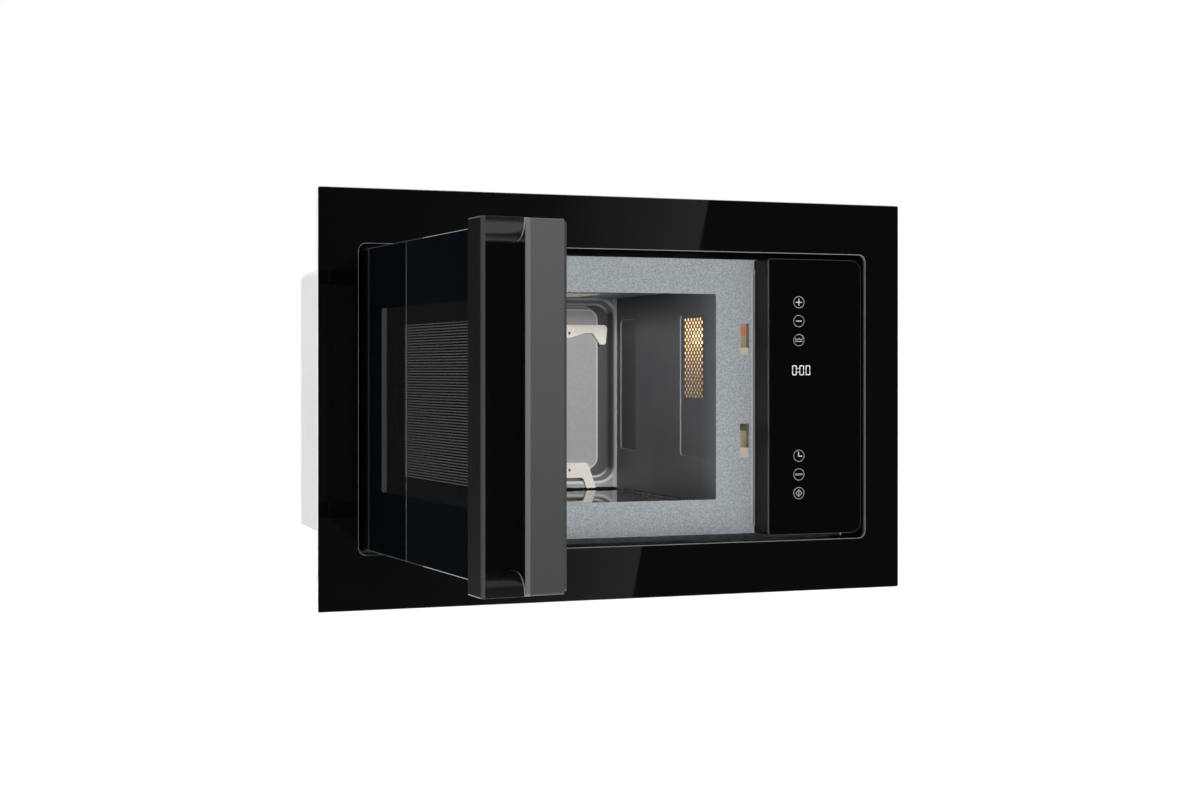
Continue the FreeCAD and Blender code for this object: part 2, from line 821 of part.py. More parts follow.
def floor_seal():
    """Silicone bead between the ceramic plate and the cavity's walls."""
    bead = box((cav_x0, cav_x1), cavity_y, (floor_under, cavity_floor - seal_drop))
    return bead.cut(ceramic_floor())


def rest_outline(half_points):
    """Outline that is the same either side of the cavity's middle."""
    right = [(cav_mid + u, v, r) for u, v, r in half_points]
    left = [(cav_mid - u, v, r) for u, v, r in reversed(half_points)]
    return right + left


def rear_rest_upper():
    """Cream moulded rest across the upper part of the rear wall, with a leg at each end."""
    top = cavity_top - rest_upper_drop
    under = top - rest_upper_h
    foot = top - rest_upper_leg_h
    leg_out = rest_upper_half - rest_upper_leg_taper
    leg_in = leg_out - rest_upper_leg_w
    points = rest_outline([
        (rest_upper_half, top, rest_corner_r),
        (leg_out, foot, rest_foot_r),
        (leg_in, foot, rest_foot_r),
        (leg_in - rest_upper_leg_slope, under, rest_foot_r),
        (rest_upper_half - rest_upper_flat_in, under, rest_corner_r),
        (rest_upper_half - rest_upper_swell_in, top - rest_upper_mid_h, rest_corner_r),
    ])
    return prism("xz", points, (cav_y1 - rest_t, cav_y1))


def rear_rest_lower():
    """Cream moulded rest across the lower part of the rear wall, with feet to the floor."""
    top = cavity_floor + rest_lower_rise
    under = top - rest_lower_h
    foot_out = rest_lower_foot_in + rest_lower_foot_w
    lean = (foot_out - rest_lower_half) / rest_lower_rise
    points = rest_outline([
        (rest_lower_half, top, rest_corner_r),
        (foot_out, cavity_floor, rest_foot_r),
        (rest_lower_foot_in, cavity_floor, rest_foot_r),
        (rest_lower_half + lean * rest_lower_h - rest_lower_foot_w, under, rest_foot_r),
    ])
    return prism("xz", points, (cav_y1 - rest_t, cav_y1))


def lamp_housing():
    """Folded box that holds the lamp behind the punched field."""
    y = grown(lamp_y, lamp_box_margin)
    z = grown(lamp_z, lamp_box_margin)
    inside = box((lamp_x0, lamp_x1 - cavity_sheet), grown(y, -cavity_sheet), grown(z, -cavity_sheet))
    return box((lamp_x0, lamp_x1), y, z).cut(inside)


def lamp_socket():
    """Ceramic socket on the far wall of the lamp's box."""
    face = lamp_x1 - cavity_sheet
    return rod("x", (plate_y + lamp_bulb_back, lamp_bulb_z), lamp_socket_r, (face - lamp_socket_t, face))


def lamp_bulb():
    """Round bulb with a straight neck in the socket."""
    face = lamp_x1 - cavity_sheet - lamp_socket_t
    axis_y = plate_y + lamp_bulb_back
    middle = face - lamp_bulb_out
    shoulder = middle + math.sqrt(lamp_bulb_r ** 2 - lamp_neck_r ** 2)
    neck_z = lamp_bulb_z + lamp_neck_r
    corners = [V(middle - lamp_bulb_r, axis_y, lamp_bulb_z), V(face, axis_y, lamp_bulb_z)]
    corners += [V(face, axis_y, neck_z), V(shoulder, axis_y, neck_z)]
    edges = [Part.LineSegment(corners[i], corners[i + 1]).toShape() for i in range(3)]
    crown = V(middle, axis_y, lamp_bulb_z + lamp_bulb_r)
    edges.append(Part.Arc(corners[3], crown, corners[0]).toShape())
    profile = Part.Face(Part.Wire(edges))
    return profile.revolve(corners[0], V(1, 0, 0), 360)


def grill_places():
    """Depth of each grill tube."""
    middle = (grill_y[0] + grill_y[1]) / 2
    return [middle - grill_tube_apart / 2, middle + grill_tube_apart / 2]


def grill_tubes():
    """Quartz tubes of the grill."""
    span = grown(grill_x, grill_holder_t + seat_gap)
    level = ceiling_top + grill_tube_rise
    tubes = []
    for y in grill_places():
        tube = rod("x", (y, level), grill_tube_r, span)
        tubes.append(tube.cut(rod("x", (y, level), grill_tube_bore, span)))
    return Part.makeCompound(tubes)


def grill_holders():
    """Ceramic blocks on the ceiling that carry the ends of the tubes."""
    level = ceiling_top + grill_tube_rise
    blocks = []
    for y in grill_places():
        for side in (0, 1):
            inner = grill_x[side]
            outer = inner + (2 * side - 1) * grill_holder_t
            x = sorted((inner, outer))
            z = (ceiling_top, level + grill_tube_r + reflector_sheet)
            block = box(x, (y - grill_holder_w / 2, y + grill_holder_w / 2), z)
            blocks.append(block.cut(rod("x", (y, level), grill_tube_r, x)))
    return Part.makeCompound(blocks)


def grill_reflector():
    """Bright folded cover over the tubes."""
    x = grill_x
    y = grown(grill_y, grill_pitch / 2)
    z = (ceiling_top, ceiling_top + reflector_h)
    cover = box(x, y, z)
    inside = box(grown(x, -reflector_sheet), grown(y, -reflector_sheet), (z[0], z[1] - reflector_sheet))
    cover = cover.cut(inside)
    for place_y in grill_places():
        cover = cover.cut(rod("x", (place_y, ceiling_top + grill_tube_rise), grill_tube_r + seat_gap, x))
    return cover


# Latch in the oven: pockets behind the slots, the catches and the interlock lever
latch_x_limits = (latch_x - latch_body_w / 2, latch_x + latch_body_w / 2)
latch_y1 = plate_back + latch_body_depth
lever_top = hook_tops[0] - hook_h - latch_travel - swing_gap
lever_y = latch_y1 - latch_wall - lever_hub_r - swing_gap
lever_z = lever_top - lever_hub_r


def latch_body():
    """Moulded block behind the front plate with a pocket and a ramped catch for each hook."""
    z = (latch_lower[0] - 2 * latch_wall, latch_upper[1] + 2 * latch_wall)
    block = box(latch_x_limits, (plate_back, latch_y1), z)
    pocket_x = (latch_x - latch_slot_w / 2, latch_x + latch_slot_w / 2)
    catch_back = door_rear + hook_reach - hook_tooth - swing_gap
    catches = []
    for slot, top in zip((latch_lower, latch_upper), hook_tops):
        block = block.cut(box(pocket_x, (plate_back, latch_y1 - latch_wall), slot))
        crest = top - hook_neck_h - latch_travel - swing_gap
        outline = [
            (plate_back, slot[0]),
            (plate_back, crest - catch_ramp),
            (catch_back - latch_wall, crest),
            (catch_back, crest),
            (catch_back, slot[0]),
        ]
        catches.append(prism("yz", outline, pocket_x))
    block = join([block] + catches)
    return block.cut(rod("x", (lever_y, lever_z), lever_pin_r, latch_x_limits))


def lever_pin():
    """Steel pin across the lower pocket."""
    return rod("x", (lever_y, lever_z), lever_pin_r, latch_x_limits)


def interlock_lever():
    """Lever under the lower hook that works the safety switches."""
    x = (latch_x - lever_t / 2, latch_x + lever_t / 2)
    hub = rod("x", (lever_y, lever_z), lever_hub_r, x)
    arm = box(x, (lever_y - lever_reach, lever_y), (lever_z, lever_top))
    bore = rod("x", (lever_y, lever_z), lever_pin_r + lever_pin_fit, x)
    return join([hub, arm]).cut(bore)


def micro_switches():
    """Safety switches on the side of the latch body."""
    x = (latch_x_limits[0] - switch_t, latch_x_limits[0])
    y = (plate_back + latch_wall, plate_back + latch_wall + switch_w)
    switches = []
    for level in (latch_lower[0], (latch_lower[1] + latch_upper[0]) / 2, latch_upper[1] - switch_h):
        switches.append(box(x, y, (level, level + switch_h)))
    return Part.makeCompound(switches)


# Microwave feed: the guide's limits and the magnetron's height
feed_x = (cav_mid + guide_end + guide_sheet, cav_mid + guide_end + feed_w)
feed_y = (well_y - feed_w / 2, well_y + feed_w / 2)
guide_y = (well_y - guide_w / 2, well_y + guide_w / 2)
leg_x = (works_x0, works_x0 + guide_leg_w)
magnetron_z = base_top + magnetron_above + magnetron_h / 2
magnetron_x = (leg_x[1], leg_x[1] + magnetron_l)


def waveguide():
    """Sheet-metal duct from the magnetron, down and under the floor to the well."""
    run_x = (cav_mid + guide_end, leg_x[1])
    run_z = (base_top, well_under)
    leg_z = (base_top, guide_leg_top)
    outside = join([box(run_x, guide_y, run_z), box(leg_x, guide_y, leg_z)])
    sheet = -guide_sheet
    run_inside = box(grown(run_x, sheet), grown(guide_y, sheet), grown(run_z, sheet))
    leg_inside = box(grown(leg_x, sheet), grown(guide_y, sheet), grown(leg_z, sheet))
    duct = outside.cut(run_inside).cut(leg_inside)
    feed = box(feed_x, feed_y, (well_under - guide_sheet, well_under))
    stub_hole = rod("x", (well_y, magnetron_z), magnetron_hole_r, (leg_x[1] - guide_sheet, leg_x[1]))
    return duct.cut(feed).cut(stub_hole)


def magnetron_yoke():
    """Steel yoke round the magnetron's core, open front and back for the air."""
    z = (magnetron_z - magnetron_h / 2, magnetron_z + magnetron_h / 2)
    inside = box(grown(magnetron_x, -magnetron_sheet), guide_y, grown(z, -magnetron_sheet))
    left_plate = (magnetron_x[0], magnetron_x[0] + magnetron_sheet)
    hole = rod("x", (well_y, magnetron_z), magnetron_hole_r, left_plate)
    return box(magnetron_x, guide_y, z).cut(inside).cut(hole)


def magnetron_core():
    """Anode with its cooling fins, and the antenna stub that reaches into the duct."""
    span = grown(magnetron_x, -magnetron_sheet)
    pieces = [rod("x", (well_y, magnetron_z), magnetron_core_r, span)]
    half_z = magnetron_h / 2 - magnetron_sheet - seat_gap
    fin_y = grown(guide_y, -magnetron_sheet)
    fin_z = (magnetron_z - half_z, magnetron_z + half_z)
    pitch = (span[1] - span[0]) / (magnetron_fins + 1)
    for index in range(magnetron_fins):
        x = span[0] + (index + 1) * pitch
        fin_x = (x - magnetron_fin_t / 2, x + magnetron_fin_t / 2)
        pieces.append(box(fin_x, fin_y, fin_z))
    stub_x = (leg_x[1] - magnetron_stub_l, span[0])
    pieces.append(rod("x", (well_y, magnetron_z), magnetron_stub_r, stub_x))
    return join(pieces)


def antenna():
    """Three-armed plate on a shaft that spreads the microwaves under the floor."""
    level = floor_under - well_depth / 2
    plate_span = (level - antenna_t / 2, level + antenna_t / 2)
    hub_z = (plate_span[0] - antenna_hub_h, plate_span[1])
    pieces = [rod("z", (cav_mid, well_y), antenna_hub_r, hub_z)]
    arm_y = (well_y - antenna_arm_w / 2, well_y + antenna_arm_w / 2)
    for index in range(antenna_arms):
        arm = box((cav_mid, cav_mid + antenna_r), arm_y, plate_span)
        arm.rotate(V(cav_mid, well_y, 0), V(0, 0, 1), 360.0 * index / antenna_arms)
        pieces.append(arm)
    shaft_z = (well_under - antenna_shaft_in, plate_span[0])
    pieces.append(rod("z", (cav_mid, well_y), antenna_shaft_r, shaft_z))
    return join(pieces)


def antenna_motor():
    """Geared motor under the well."""
    can = rod("z", (cav_mid, well_y), antenna_motor_r, (base_top, well_under))
    bore_r = antenna_shaft_r + antenna_shaft_fit
    bore_z = (well_under - antenna_shaft_in - seat_gap, well_under)
    return can.cut(rod("z", (cav_mid, well_y), bore_r, bore_z))


# Power supply and cooling: limits on the base plate and the fan's axis
core_x = (cab_in - core_from_side - core_w, cab_in - core_from_side)
core_y = (plate_back + core_from_front, plate_back + core_from_front + core_d)
core_z = (base_top, base_top + core_h)
winding_w = (core_w - 4 * core_limb) / 2
fan_axis = (works_x0 + fan_x, fan_z)
shroud_y = (rear_in - fan_from_rear, rear_in - fan_from_rear + shroud_t)
motor_y = (shroud_y[1] + motor_gap, shroud_y[1] + motor_gap + motor_l)
capacitor_x = (cab_in - capacitor_from_side - capacitor_w, cab_in - capacitor_from_side)
capacitor_y = (rear_in - capacitor_from_rear - capacitor_d, rear_in - capacitor_from_rear)


def core_windows():
    """Limits on X of the two windows in the transformer's core."""
    left = (core_x[0] + core_limb, core_x[0] + core_limb + winding_w)
    right = (core_x[1] - core_limb - winding_w, core_x[1] - core_limb)
    return left, right


def transformer_core():
    """Laminated iron core with two windows."""
    core = box(core_x, core_y, core_z)
    for window in core_windows():
        core = core.cut(box(window, core_y, grown(core_z, -core_limb)))
    return core


def transformer_windings():
    """Lower primary and upper secondary coil round the core's middle limb."""
    left, right = core_windows()
    window_z_limits = grown(core_z, -core_limb - winding_gap)
    middle = (window_z_limits[0] + window_z_limits[1]) / 2
    coils = []
    for z in ((window_z_limits[0], middle - winding_gap), (middle + winding_gap, window_z_limits[1])):
        outside = box((left[0] + winding_gap, right[1] - winding_gap), grown(core_y, winding_over), z)
        limb = box((left[1], right[0]), core_y, z)
        coils.append(outside.cut(limb))
    return Part.makeCompound(coils)


def capacitor():
    """Oval high-voltage capacitor with two terminals."""
    can = slab("xy", capacitor_x, capacitor_y, (base_top, base_top + capacitor_h), capacitor_d / 2 - seat_gap)
    top = (base_top + capacitor_h, base_top + capacitor_h + terminal_h)
    y = (capacitor_y[0] + capacitor_y[1]) / 2
    posts = []
    for x in (capacitor_x[0] + capacitor_d / 2, capacitor_x[1] - capacitor_d / 2):
        posts.append(rod("z", (x, y), terminal_r, top))
    return join([can] + posts)


def hv_diode():
    """High-voltage diode on its earthing foot beside the capacitor."""
    x = (capacitor_x[0] - diode_gap - diode_l, capacitor_x[0] - diode_gap)
    y = (capacitor_y[0] + capacitor_y[1]) / 2
    body = rod("x", (y, base_top + 2 * diode_r), diode_r, x)
    foot = box((x[0], x[0] + diode_r), (y - diode_r, y + diode_r), (base_top, base_top + 2 * diode_r))
    return join([body, foot])


def fan_shroud():
    """Plate across the compartment with a ring round the fan."""
    reach = fan_r + fan_tip_gap
    z = (fan_z - reach - shroud_margin, fan_z + reach + shroud_margin)
    plate = box((works_x0, cab_in), shroud_y, z)
    ring_y = (shroud_y[0] - shroud_ring_l, shroud_y[1])
    ring = rod("y", fan_axis, reach + shroud_t, ring_y)
    return join([plate, ring]).cut(rod("y", fan_axis, reach, ring_y))


def fan_impeller():
    """Moulded cooling fan with pitched blades and its shaft."""
    hub_y = (shroud_y[0] - fan_hub_l, shroud_y[0])
    middle = (hub_y[0] + hub_y[1]) / 2
    chord = fan_hub_l - fan_blade_t
    pieces = [rod("y", fan_axis, fan_hub_r, hub_y)]
    for index in range(fan_blades):
        blade = box((fan_blade_root, fan_r), both(chord / 2), both(fan_blade_t / 2))
        blade.rotate(V(0, 0, 0), V(1, 0, 0), fan_blade_pitch)
        blade.rotate(V(0, 0, 0), V(0, 1, 0), 360.0 * index / fan_blades)
        blade.translate(V(fan_axis[0], middle, fan_axis[1]))
        pieces.append(blade)
    pieces.append(rod("y", fan_axis, fan_shaft_r, (hub_y[1], motor_y[0] + fan_shaft_in)))
    return join(pieces)


def fan_motor():
    """Motor of the cooling fan, on posts from the rear panel."""
    x = (fan_axis[0] - motor_w / 2, fan_axis[0] + motor_w / 2)
    z = (fan_z - motor_h / 2, fan_z + motor_h / 2)
    pieces = [box(x, motor_y, z)]
    for px in grown(x, -motor_post_in):
        for pz in grown(z, -motor_post_in):
            pieces.append(rod("y", (px, pz), motor_post_r, (motor_y[1], rear_in)))
    bore_y = (motor_y[0], motor_y[0] + fan_shaft_in + seat_gap)
    return join(pieces).cut(rod("y", fan_axis, fan_shaft_r + fan_shaft_fit, bore_y))


def filter_board():
    """Mains filter on posts at the top of the rear panel."""
    top = cabinet_top - cabinet_corner_r - filter_post
    z = (top - filter_h, top)
    x = (fan_axis[0] - filter_w / 2, fan_axis[0] + filter_w / 2)
    y = (rear_in - filter_post - board_t, rear_in - filter_post)
    pieces = [box(x, y, z)]
    for px in grown(x, -board_edge):
        for pz in grown(z, -board_edge):
            pieces.append(rod("y", (px, pz), board_post_r, (y[1], rear_in)))
    raised = (y[0] - relay_d, y[0])
    coil_centre = (x[0] + filter_h / 2, (z[0] + z[1]) / 2)
    pieces.append(rod("y", coil_centre, filter_choke_r, raised))
    pieces.append(box((x[1] - filter_h, x[1] - board_edge), raised, grown(z, -board_edge)))
    return join(pieces)


def thermostats():
    """Cut-outs on the cavity's ceiling and on the magnetron."""
    magnetron_top = magnetron_z + magnetron_h / 2
    on_ceiling = (cav_x1 - 2 * thermostat_r, plate_back + plate_return + 2 * thermostat_r)
    on_magnetron = ((magnetron_x[0] + magnetron_x[1]) / 2, well_y)
    places = ((on_ceiling, ceiling_top), (on_magnetron, magnetron_top))
    discs = [rod("z", centre, thermostat_r, (level, level + thermostat_t)) for centre, level in places]
    return Part.makeCompound(discs)


# Control box: limits of the panel, and the planes of its boards
panel_x = (panel_x0, panel_x1)
panel_radii = (panel_inner_r, panel_outer_r, panel_outer_r, panel_inner_r)
panel_back = front + panel_glass_t
touch_y = (panel_back, panel_back + board_t)
power_y = (front + power_board_back, front + power_board_back + board_t)
housing_back = plate_y - housing_wall
display_centre = panel_x0 + display_x
display_x_limits = (display_centre - display_w / 2, display_centre + display_w / 2)
display_z_limits = (display_z - display_h / 2, display_z + display_h / 2)


def control_glass():
    """Black glass of the control panel, level with the trim and the door."""
    pane = slab("xz", panel_x, both(door_z), (front, panel_back), panel_radii)
    return eased(pane, front, glass_ease)


def board_posts():
    """Places of the posts that carry the power board."""
    xs = grown(panel_x, -housing_wall - 2 * board_edge)
    zs = both(power_board_half - board_edge)
    return [(x, z) for x in xs for z in zs]


def control_housing():
    """Moulded box behind the control glass, with posts for the power board."""
    outside = slab("xz", panel_x, both(door_z), (panel_back, plate_y), panel_radii)
    inner_radii = tuple(max(radius - housing_wall, 0.0) for radius in panel_radii)
    wall = -housing_wall
    inside_y = (panel_back, housing_back)
    inside = slab("xz", grown(panel_x, wall), grown(both(door_z), wall), inside_y, inner_radii)
    window = box(connector_x, (housing_back, plate_y), both(connector_window_h / 2))
    posts = [rod("y", centre, board_post_r, (power_y[1], housing_back)) for centre in board_posts()]
    return join([outside.cut(inside).cut(window)] + posts)


def touch_board():
    """Touch sensor board against the back of the glass, open for the display."""
    board = box(grown(panel_x, -board_edge), touch_y, both(door_z - board_edge))
    return board.cut(box(grown(display_x_limits, seat_gap), touch_y, grown(display_z_limits, seat_gap)))


def display_module():
    """Lit digit display: its window in the touch board and its case behind."""
    face = box(display_x_limits, touch_y, display_z_limits)
    case_y = (touch_y[1], touch_y[1] + display_deep)
    case = box(grown(display_x_limits, display_frame), case_y, grown(display_z_limits, display_frame))
    return join([face, case])


def power_board():
    """Board with the relays that switch the magnetron, the grill and the lamp."""
    pieces = [box(grown(panel_x, -housing_wall - board_edge), power_y, both(power_board_half))]
    relay_y = (power_y[0] - relay_d, power_y[0])
    for index in range(relay_count):
        low = -power_board_half + board_edge + index * (relay_w + board_edge)
        relay_x = (panel_mid - relay_w / 2, panel_mid + relay_w / 2)
        pieces.append(box(relay_x, relay_y, (low, low + relay_w)))
    return join(pieces)


# Outer cabinet: its front edge, and the screws through its sides
cabinet_y = (plate_back + cabinet_fit, rear_in)
cabinet_z = (cabinet_bottom, cabinet_top)
gland_centre = (cab_x - gland_right, cabinet_bottom + gland_rise)
vent_left = -cab_x + vent_inset


def side_screws():
    """Side, depth, height and clamped thickness of each screw in the cabinet's sides."""
    places = [(side, bracket_screw_y(), level, bracket_sheet) for side, level in bracket_places()]
    for level in (-1, 1):
        places.append((-1, *hinge_screw(level), hinge_arm_t))
    return places


def cabinet_wrap():
    """Painted sheet folded over the left side, the top and the right side."""
    outside = slab("xz", both(cab_x), cabinet_z, cabinet_y, (0.0, 0.0, cabinet_corner_r, cabinet_corner_r))
    inner_r = cabinet_corner_r - cabinet_sheet
    inner_z = (cabinet_bottom, cabinet_top - cabinet_sheet)
    wrap = outside.cut(slab("xz", both(cab_in), inner_z, cabinet_y, (0.0, 0.0, inner_r, inner_r)))
    for side, y, z, clamped in side_screws():
        wrap = wrap.cut(rod("x", (y, z), screw_r, sorted((side * cab_in, side * cab_x))))
    return wrap


def base_plate():
    """Bottom sheet, folded up at its sides and behind the front plate."""
    floor = box(both(cab_in), (plate_back, rear_in), (cabinet_bottom, base_top))
    flange_z = (cabinet_bottom, base_top + base_flange)
    pieces = [floor]
    for side in (-1, 1):
        flange_x = sorted((side * (cab_in - cabinet_sheet), side * cab_in))
        pieces.append(box(flange_x, (plate_back + cabinet_fit, rear_in), flange_z))
    lip_x = cab_in - 2 * (cabinet_sheet + cabinet_fit) - plate_sheet
    lip_y = (plate_back, plate_back + cabinet_sheet)
    pieces.append(box(both(lip_x), lip_y, (cabinet_bottom, base_flange - plate_z)))
    return join(pieces)


def rear_panel():
    """Rear sheet with vent slots behind the fan and the hole for the cord's gland."""
    y = (rear_in, rear_out)
    panel = slab("xz", both(cab_x), cabinet_z, y, (0.0, 0.0, cabinet_corner_r, cabinet_corner_r))
    slots = []
    for row in range(vent_rows):
        level = fan_z + (row - (vent_rows - 1) / 2) * vent_pitch
        z = (level - vent_w / 2, level + vent_w / 2)
        for middle in (fan_axis[0], vent_left):
            slots.append(box((middle - vent_l - vent_w, middle - vent_w), y, z))
            slots.append(box((middle + vent_w, middle + vent_l + vent_w), y, z))
    return panel.cut(Part.makeCompound(slots)).cut(rod("y", gland_centre, gland_r, y))


def cord_gland():
    """Bush for the mains lead in the rear panel."""
    body = rod("y", gland_centre, gland_r, (rear_in - gland_inside, rear_out))
    flange = rod("y", gland_centre, gland_flange_r, (rear_out, rear_out + gland_flange_t))
    bore = rod("y", gland_centre, gland_bore_r, (rear_in - gland_inside, rear_out + gland_flange_t))
    return join([body, flange]).cut(bore)


def chassis_screws():
    """Sheet-metal screws of the brackets and the hinge arms."""
    screws = []
    for side, y, z, clamped in side_screws():
        seat = cab_x + clamped
        shank = rod("x", (y, z), screw_r, sorted((side * (seat - screw_len), side * seat)))
        head = rod("x", (y, z), screw_head_r, sorted((side * seat, side * (seat + screw_head_t))))
        screws.append(join([shank, head]))
    return Part.makeCompound(screws)


fixed_pieces = (
    trim_glass, trim_frame, trim_brackets, front_plate, cavity_left_wall, cavity_ceiling, cavity_right_wall,
    cavity_rear_wall, cavity_floor_pan, ceramic_floor, floor_seal, rear_rest_upper, rear_rest_lower, lamp_housing,
    lamp_socket, lamp_bulb, grill_tubes, grill_holders, grill_reflector, latch_body, lever_pin, interlock_lever,
    micro_switches, waveguide, magnetron_yoke, magnetron_core, antenna, antenna_motor, transformer_core,
    transformer_windings, capacitor, hv_diode, fan_shroud, fan_impeller, fan_motor, filter_board, thermostats,
    control_glass, control_housing, touch_board, display_module, power_board, cabinet_wrap, base_plate, rear_panel,
    cord_gland, chassis_screws, hinge_brackets,
)
door_pieces = (
    door_glass, door_frame, door_choke, door_screen, inner_window, choke_cover, hinge_pins, handle_plate,
    handle_caps, handle_screws, latch_hooks, latch_spring,
)

os.makedirs("parts", exist_ok=True)
for piece in fixed_pieces:
    piece().exportStep("parts/" + piece.__name__ + ".step")
for piece in door_pieces:
    swung(piece()).exportStep("parts/" + piece.__name__ + ".step")
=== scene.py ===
import bpy
import json
import math
from mathutils import Matrix, Vector

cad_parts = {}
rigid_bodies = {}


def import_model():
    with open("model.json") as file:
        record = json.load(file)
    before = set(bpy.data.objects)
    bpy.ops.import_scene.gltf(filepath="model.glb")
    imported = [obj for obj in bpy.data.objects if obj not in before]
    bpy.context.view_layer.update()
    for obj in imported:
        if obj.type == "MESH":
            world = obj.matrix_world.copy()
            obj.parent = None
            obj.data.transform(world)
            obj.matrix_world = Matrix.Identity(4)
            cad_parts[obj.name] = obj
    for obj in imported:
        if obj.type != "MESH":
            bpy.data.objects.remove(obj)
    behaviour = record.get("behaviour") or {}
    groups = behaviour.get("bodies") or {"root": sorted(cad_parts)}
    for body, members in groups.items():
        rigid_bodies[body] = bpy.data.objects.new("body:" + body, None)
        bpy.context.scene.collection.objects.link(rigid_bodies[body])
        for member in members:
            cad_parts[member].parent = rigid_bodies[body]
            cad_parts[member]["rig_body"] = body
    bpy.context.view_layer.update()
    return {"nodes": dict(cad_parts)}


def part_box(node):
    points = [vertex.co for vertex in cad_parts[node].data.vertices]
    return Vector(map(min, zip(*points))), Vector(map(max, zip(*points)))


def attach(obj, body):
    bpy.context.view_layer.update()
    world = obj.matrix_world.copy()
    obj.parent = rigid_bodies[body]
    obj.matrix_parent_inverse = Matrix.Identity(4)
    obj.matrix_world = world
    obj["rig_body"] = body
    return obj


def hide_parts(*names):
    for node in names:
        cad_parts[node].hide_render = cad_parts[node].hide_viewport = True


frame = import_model()
bpy.context.scene.view_settings.view_transform = "Standard"


# Camera. A long lens a little above the middle of the trim and to the left of it,
# turned to look past the open door into the oven; the shift only sets the horizon's height.
half_pi = math.radians(90)
camera_turn = math.radians(-19.48)
bpy.ops.object.camera_add(location=(-0.597, -1.6217, 0.0268), rotation=(half_pi, 0, camera_turn))
camera = bpy.context.object
camera.data.sensor_width = 36.0
camera.data.lens = 53.61
camera.data.shift_y = -0.025
camera.data.clip_end = 50.0
bpy.context.scene.camera = camera


# Studio. A white surround that is seen directly, in metal and through glass, and a softer
# level of the same white that lights the oven, with a pale floor well below it.
def wire(tree, *links):
    """Links pairs of sockets: an output and the input that it feeds."""
    for start, end in links:
        tree.links.new(start, end)


def new_node(tree, kind, settings):
    """Shader node with some of its inputs set."""
    node = tree.nodes.new(kind)
    for socket, value in settings.items():
        node.inputs[socket].default_value = value
    return node


world = bpy.data.worlds.new("studio_white")
world.use_nodes = True
bpy.context.scene.world = world
air = world.node_tree
background = air.nodes["Background"]
background.inputs["Color"].default_value = (1.0, 1.0, 1.0, 1.0)
rays = air.nodes.new("ShaderNodeLightPath")
seen = rays.outputs["Is Camera Ray"]
for kind in ("Is Glossy Ray", "Is Transmission Ray"):
    either = air.nodes.new("ShaderNodeMath")
    either.operation = "MAXIMUM"
    wire(air, (seen, either.inputs[0]), (rays.outputs[kind], either.inputs[1]))
    seen = either.outputs[0]
level = new_node(air, "ShaderNodeMapRange", {"To Min": 0.12, "To Max": 1.0})
wire(air, (seen, level.inputs["Value"]), (level.outputs["Result"], background.inputs["Strength"]))


def glowing_sheet(name, size, place, turn, colour, seen_by_camera=False):
    """Flat studio sheet with an emission shader: a floor, a dark screen or a soft light's face."""
    bpy.ops.object.select_all(action="DESELECT")
    bpy.ops.mesh.primitive_plane_add(size=1.0, location=place, rotation=turn)
    sheet = bpy.context.object
    sheet.name = name
    sheet.scale = (size[0], size[1], 1.0)
    sheet.visible_camera = seen_by_camera
    sheet.visible_diffuse = seen_by_camera
    sheet.visible_shadow = False
    material = bpy.data.materials.new(name)
    material.use_nodes = True
    tree = material.node_tree
    tree.nodes.clear()
    out = tree.nodes.new("ShaderNodeOutputMaterial")
    glow = tree.nodes.new("ShaderNodeEmission")
    glow.inputs["Color"].default_value = (*colour, 1.0)
    tree.links.new(glow.outputs[0], out.inputs["Surface"])
    sheet.data.materials.append(material)
    return tree, glow, out


# The pale floor: white where it is looked at, and a matt white that takes a faint shadow.
floor_tree, floor_glow, floor_out = glowing_sheet(
    "studio_floor", (24.0, 24.0), (0, 0, -0.95), (0, 0, 0), (1.0, 1.0, 1.0), True)
floor_rays = floor_tree.nodes.new("ShaderNodeLightPath")
floor_matt = floor_tree.nodes.new("ShaderNodeBsdfDiffuse")
floor_matt.inputs["Color"].default_value = (0.8, 0.8, 0.8, 1.0)
floor_sum = floor_tree.nodes.new("ShaderNodeAddShader")
floor_mix = floor_tree.nodes.new("ShaderNodeMixShader")
wire(
    floor_tree,
    (floor_glow.outputs[0], floor_sum.inputs[0]),
    (floor_matt.outputs[0], floor_sum.inputs[1]),
    (floor_rays.outputs["Is Diffuse Ray"], floor_mix.inputs["Fac"]),
    (floor_sum.outputs[0], floor_mix.inputs[1]),
    (floor_matt.outputs[0], floor_mix.inputs[2]),
    (floor_mix.outputs[0], floor_out.inputs["Surface"]))


def axes_of(tree, kind="Object"):
    """Node with the X, Y and Z of a surface: its place in the object's own frame, or its normal."""
    place = tree.nodes.new("ShaderNodeTexCoord")
    axes = tree.nodes.new("ShaderNodeSeparateXYZ")
    tree.links.new(place.outputs[kind], axes.inputs[0])
    return axes


# Dark screens that only the polished surfaces see, as black glass is photographed: one behind
# the camera, one to the left; a tilted soft strip in front of the first fades to its left.
glowing_sheet("front_screen", (14.0, 9.0), (0, -4.2, 0), (half_pi, 0, 0), (0.05, 0.057, 0.062))
glowing_sheet("left_screen", (26.0, 12.0), (-1.5, 5.0, 0), (half_pi, 0, half_pi), (0.0105, 0.0125, 0.0155))
strip_edge_top = Vector((1.357, 0, 0.503))
strip_edge_foot = Vector((1.128, 0, -0.603))
strip_y = -3.0
strip_size = (1.1, 3.0)
strip_lean = math.atan2(strip_edge_top.x - strip_edge_foot.x, strip_edge_top.z - strip_edge_foot.z)
strip_side = Vector((math.cos(strip_lean), 0, -math.sin(strip_lean)))
strip_middle = (strip_edge_top + strip_edge_foot) / 2 - strip_side * strip_size[0] / 2
strip_place = (strip_middle.x, strip_y, strip_middle.z)
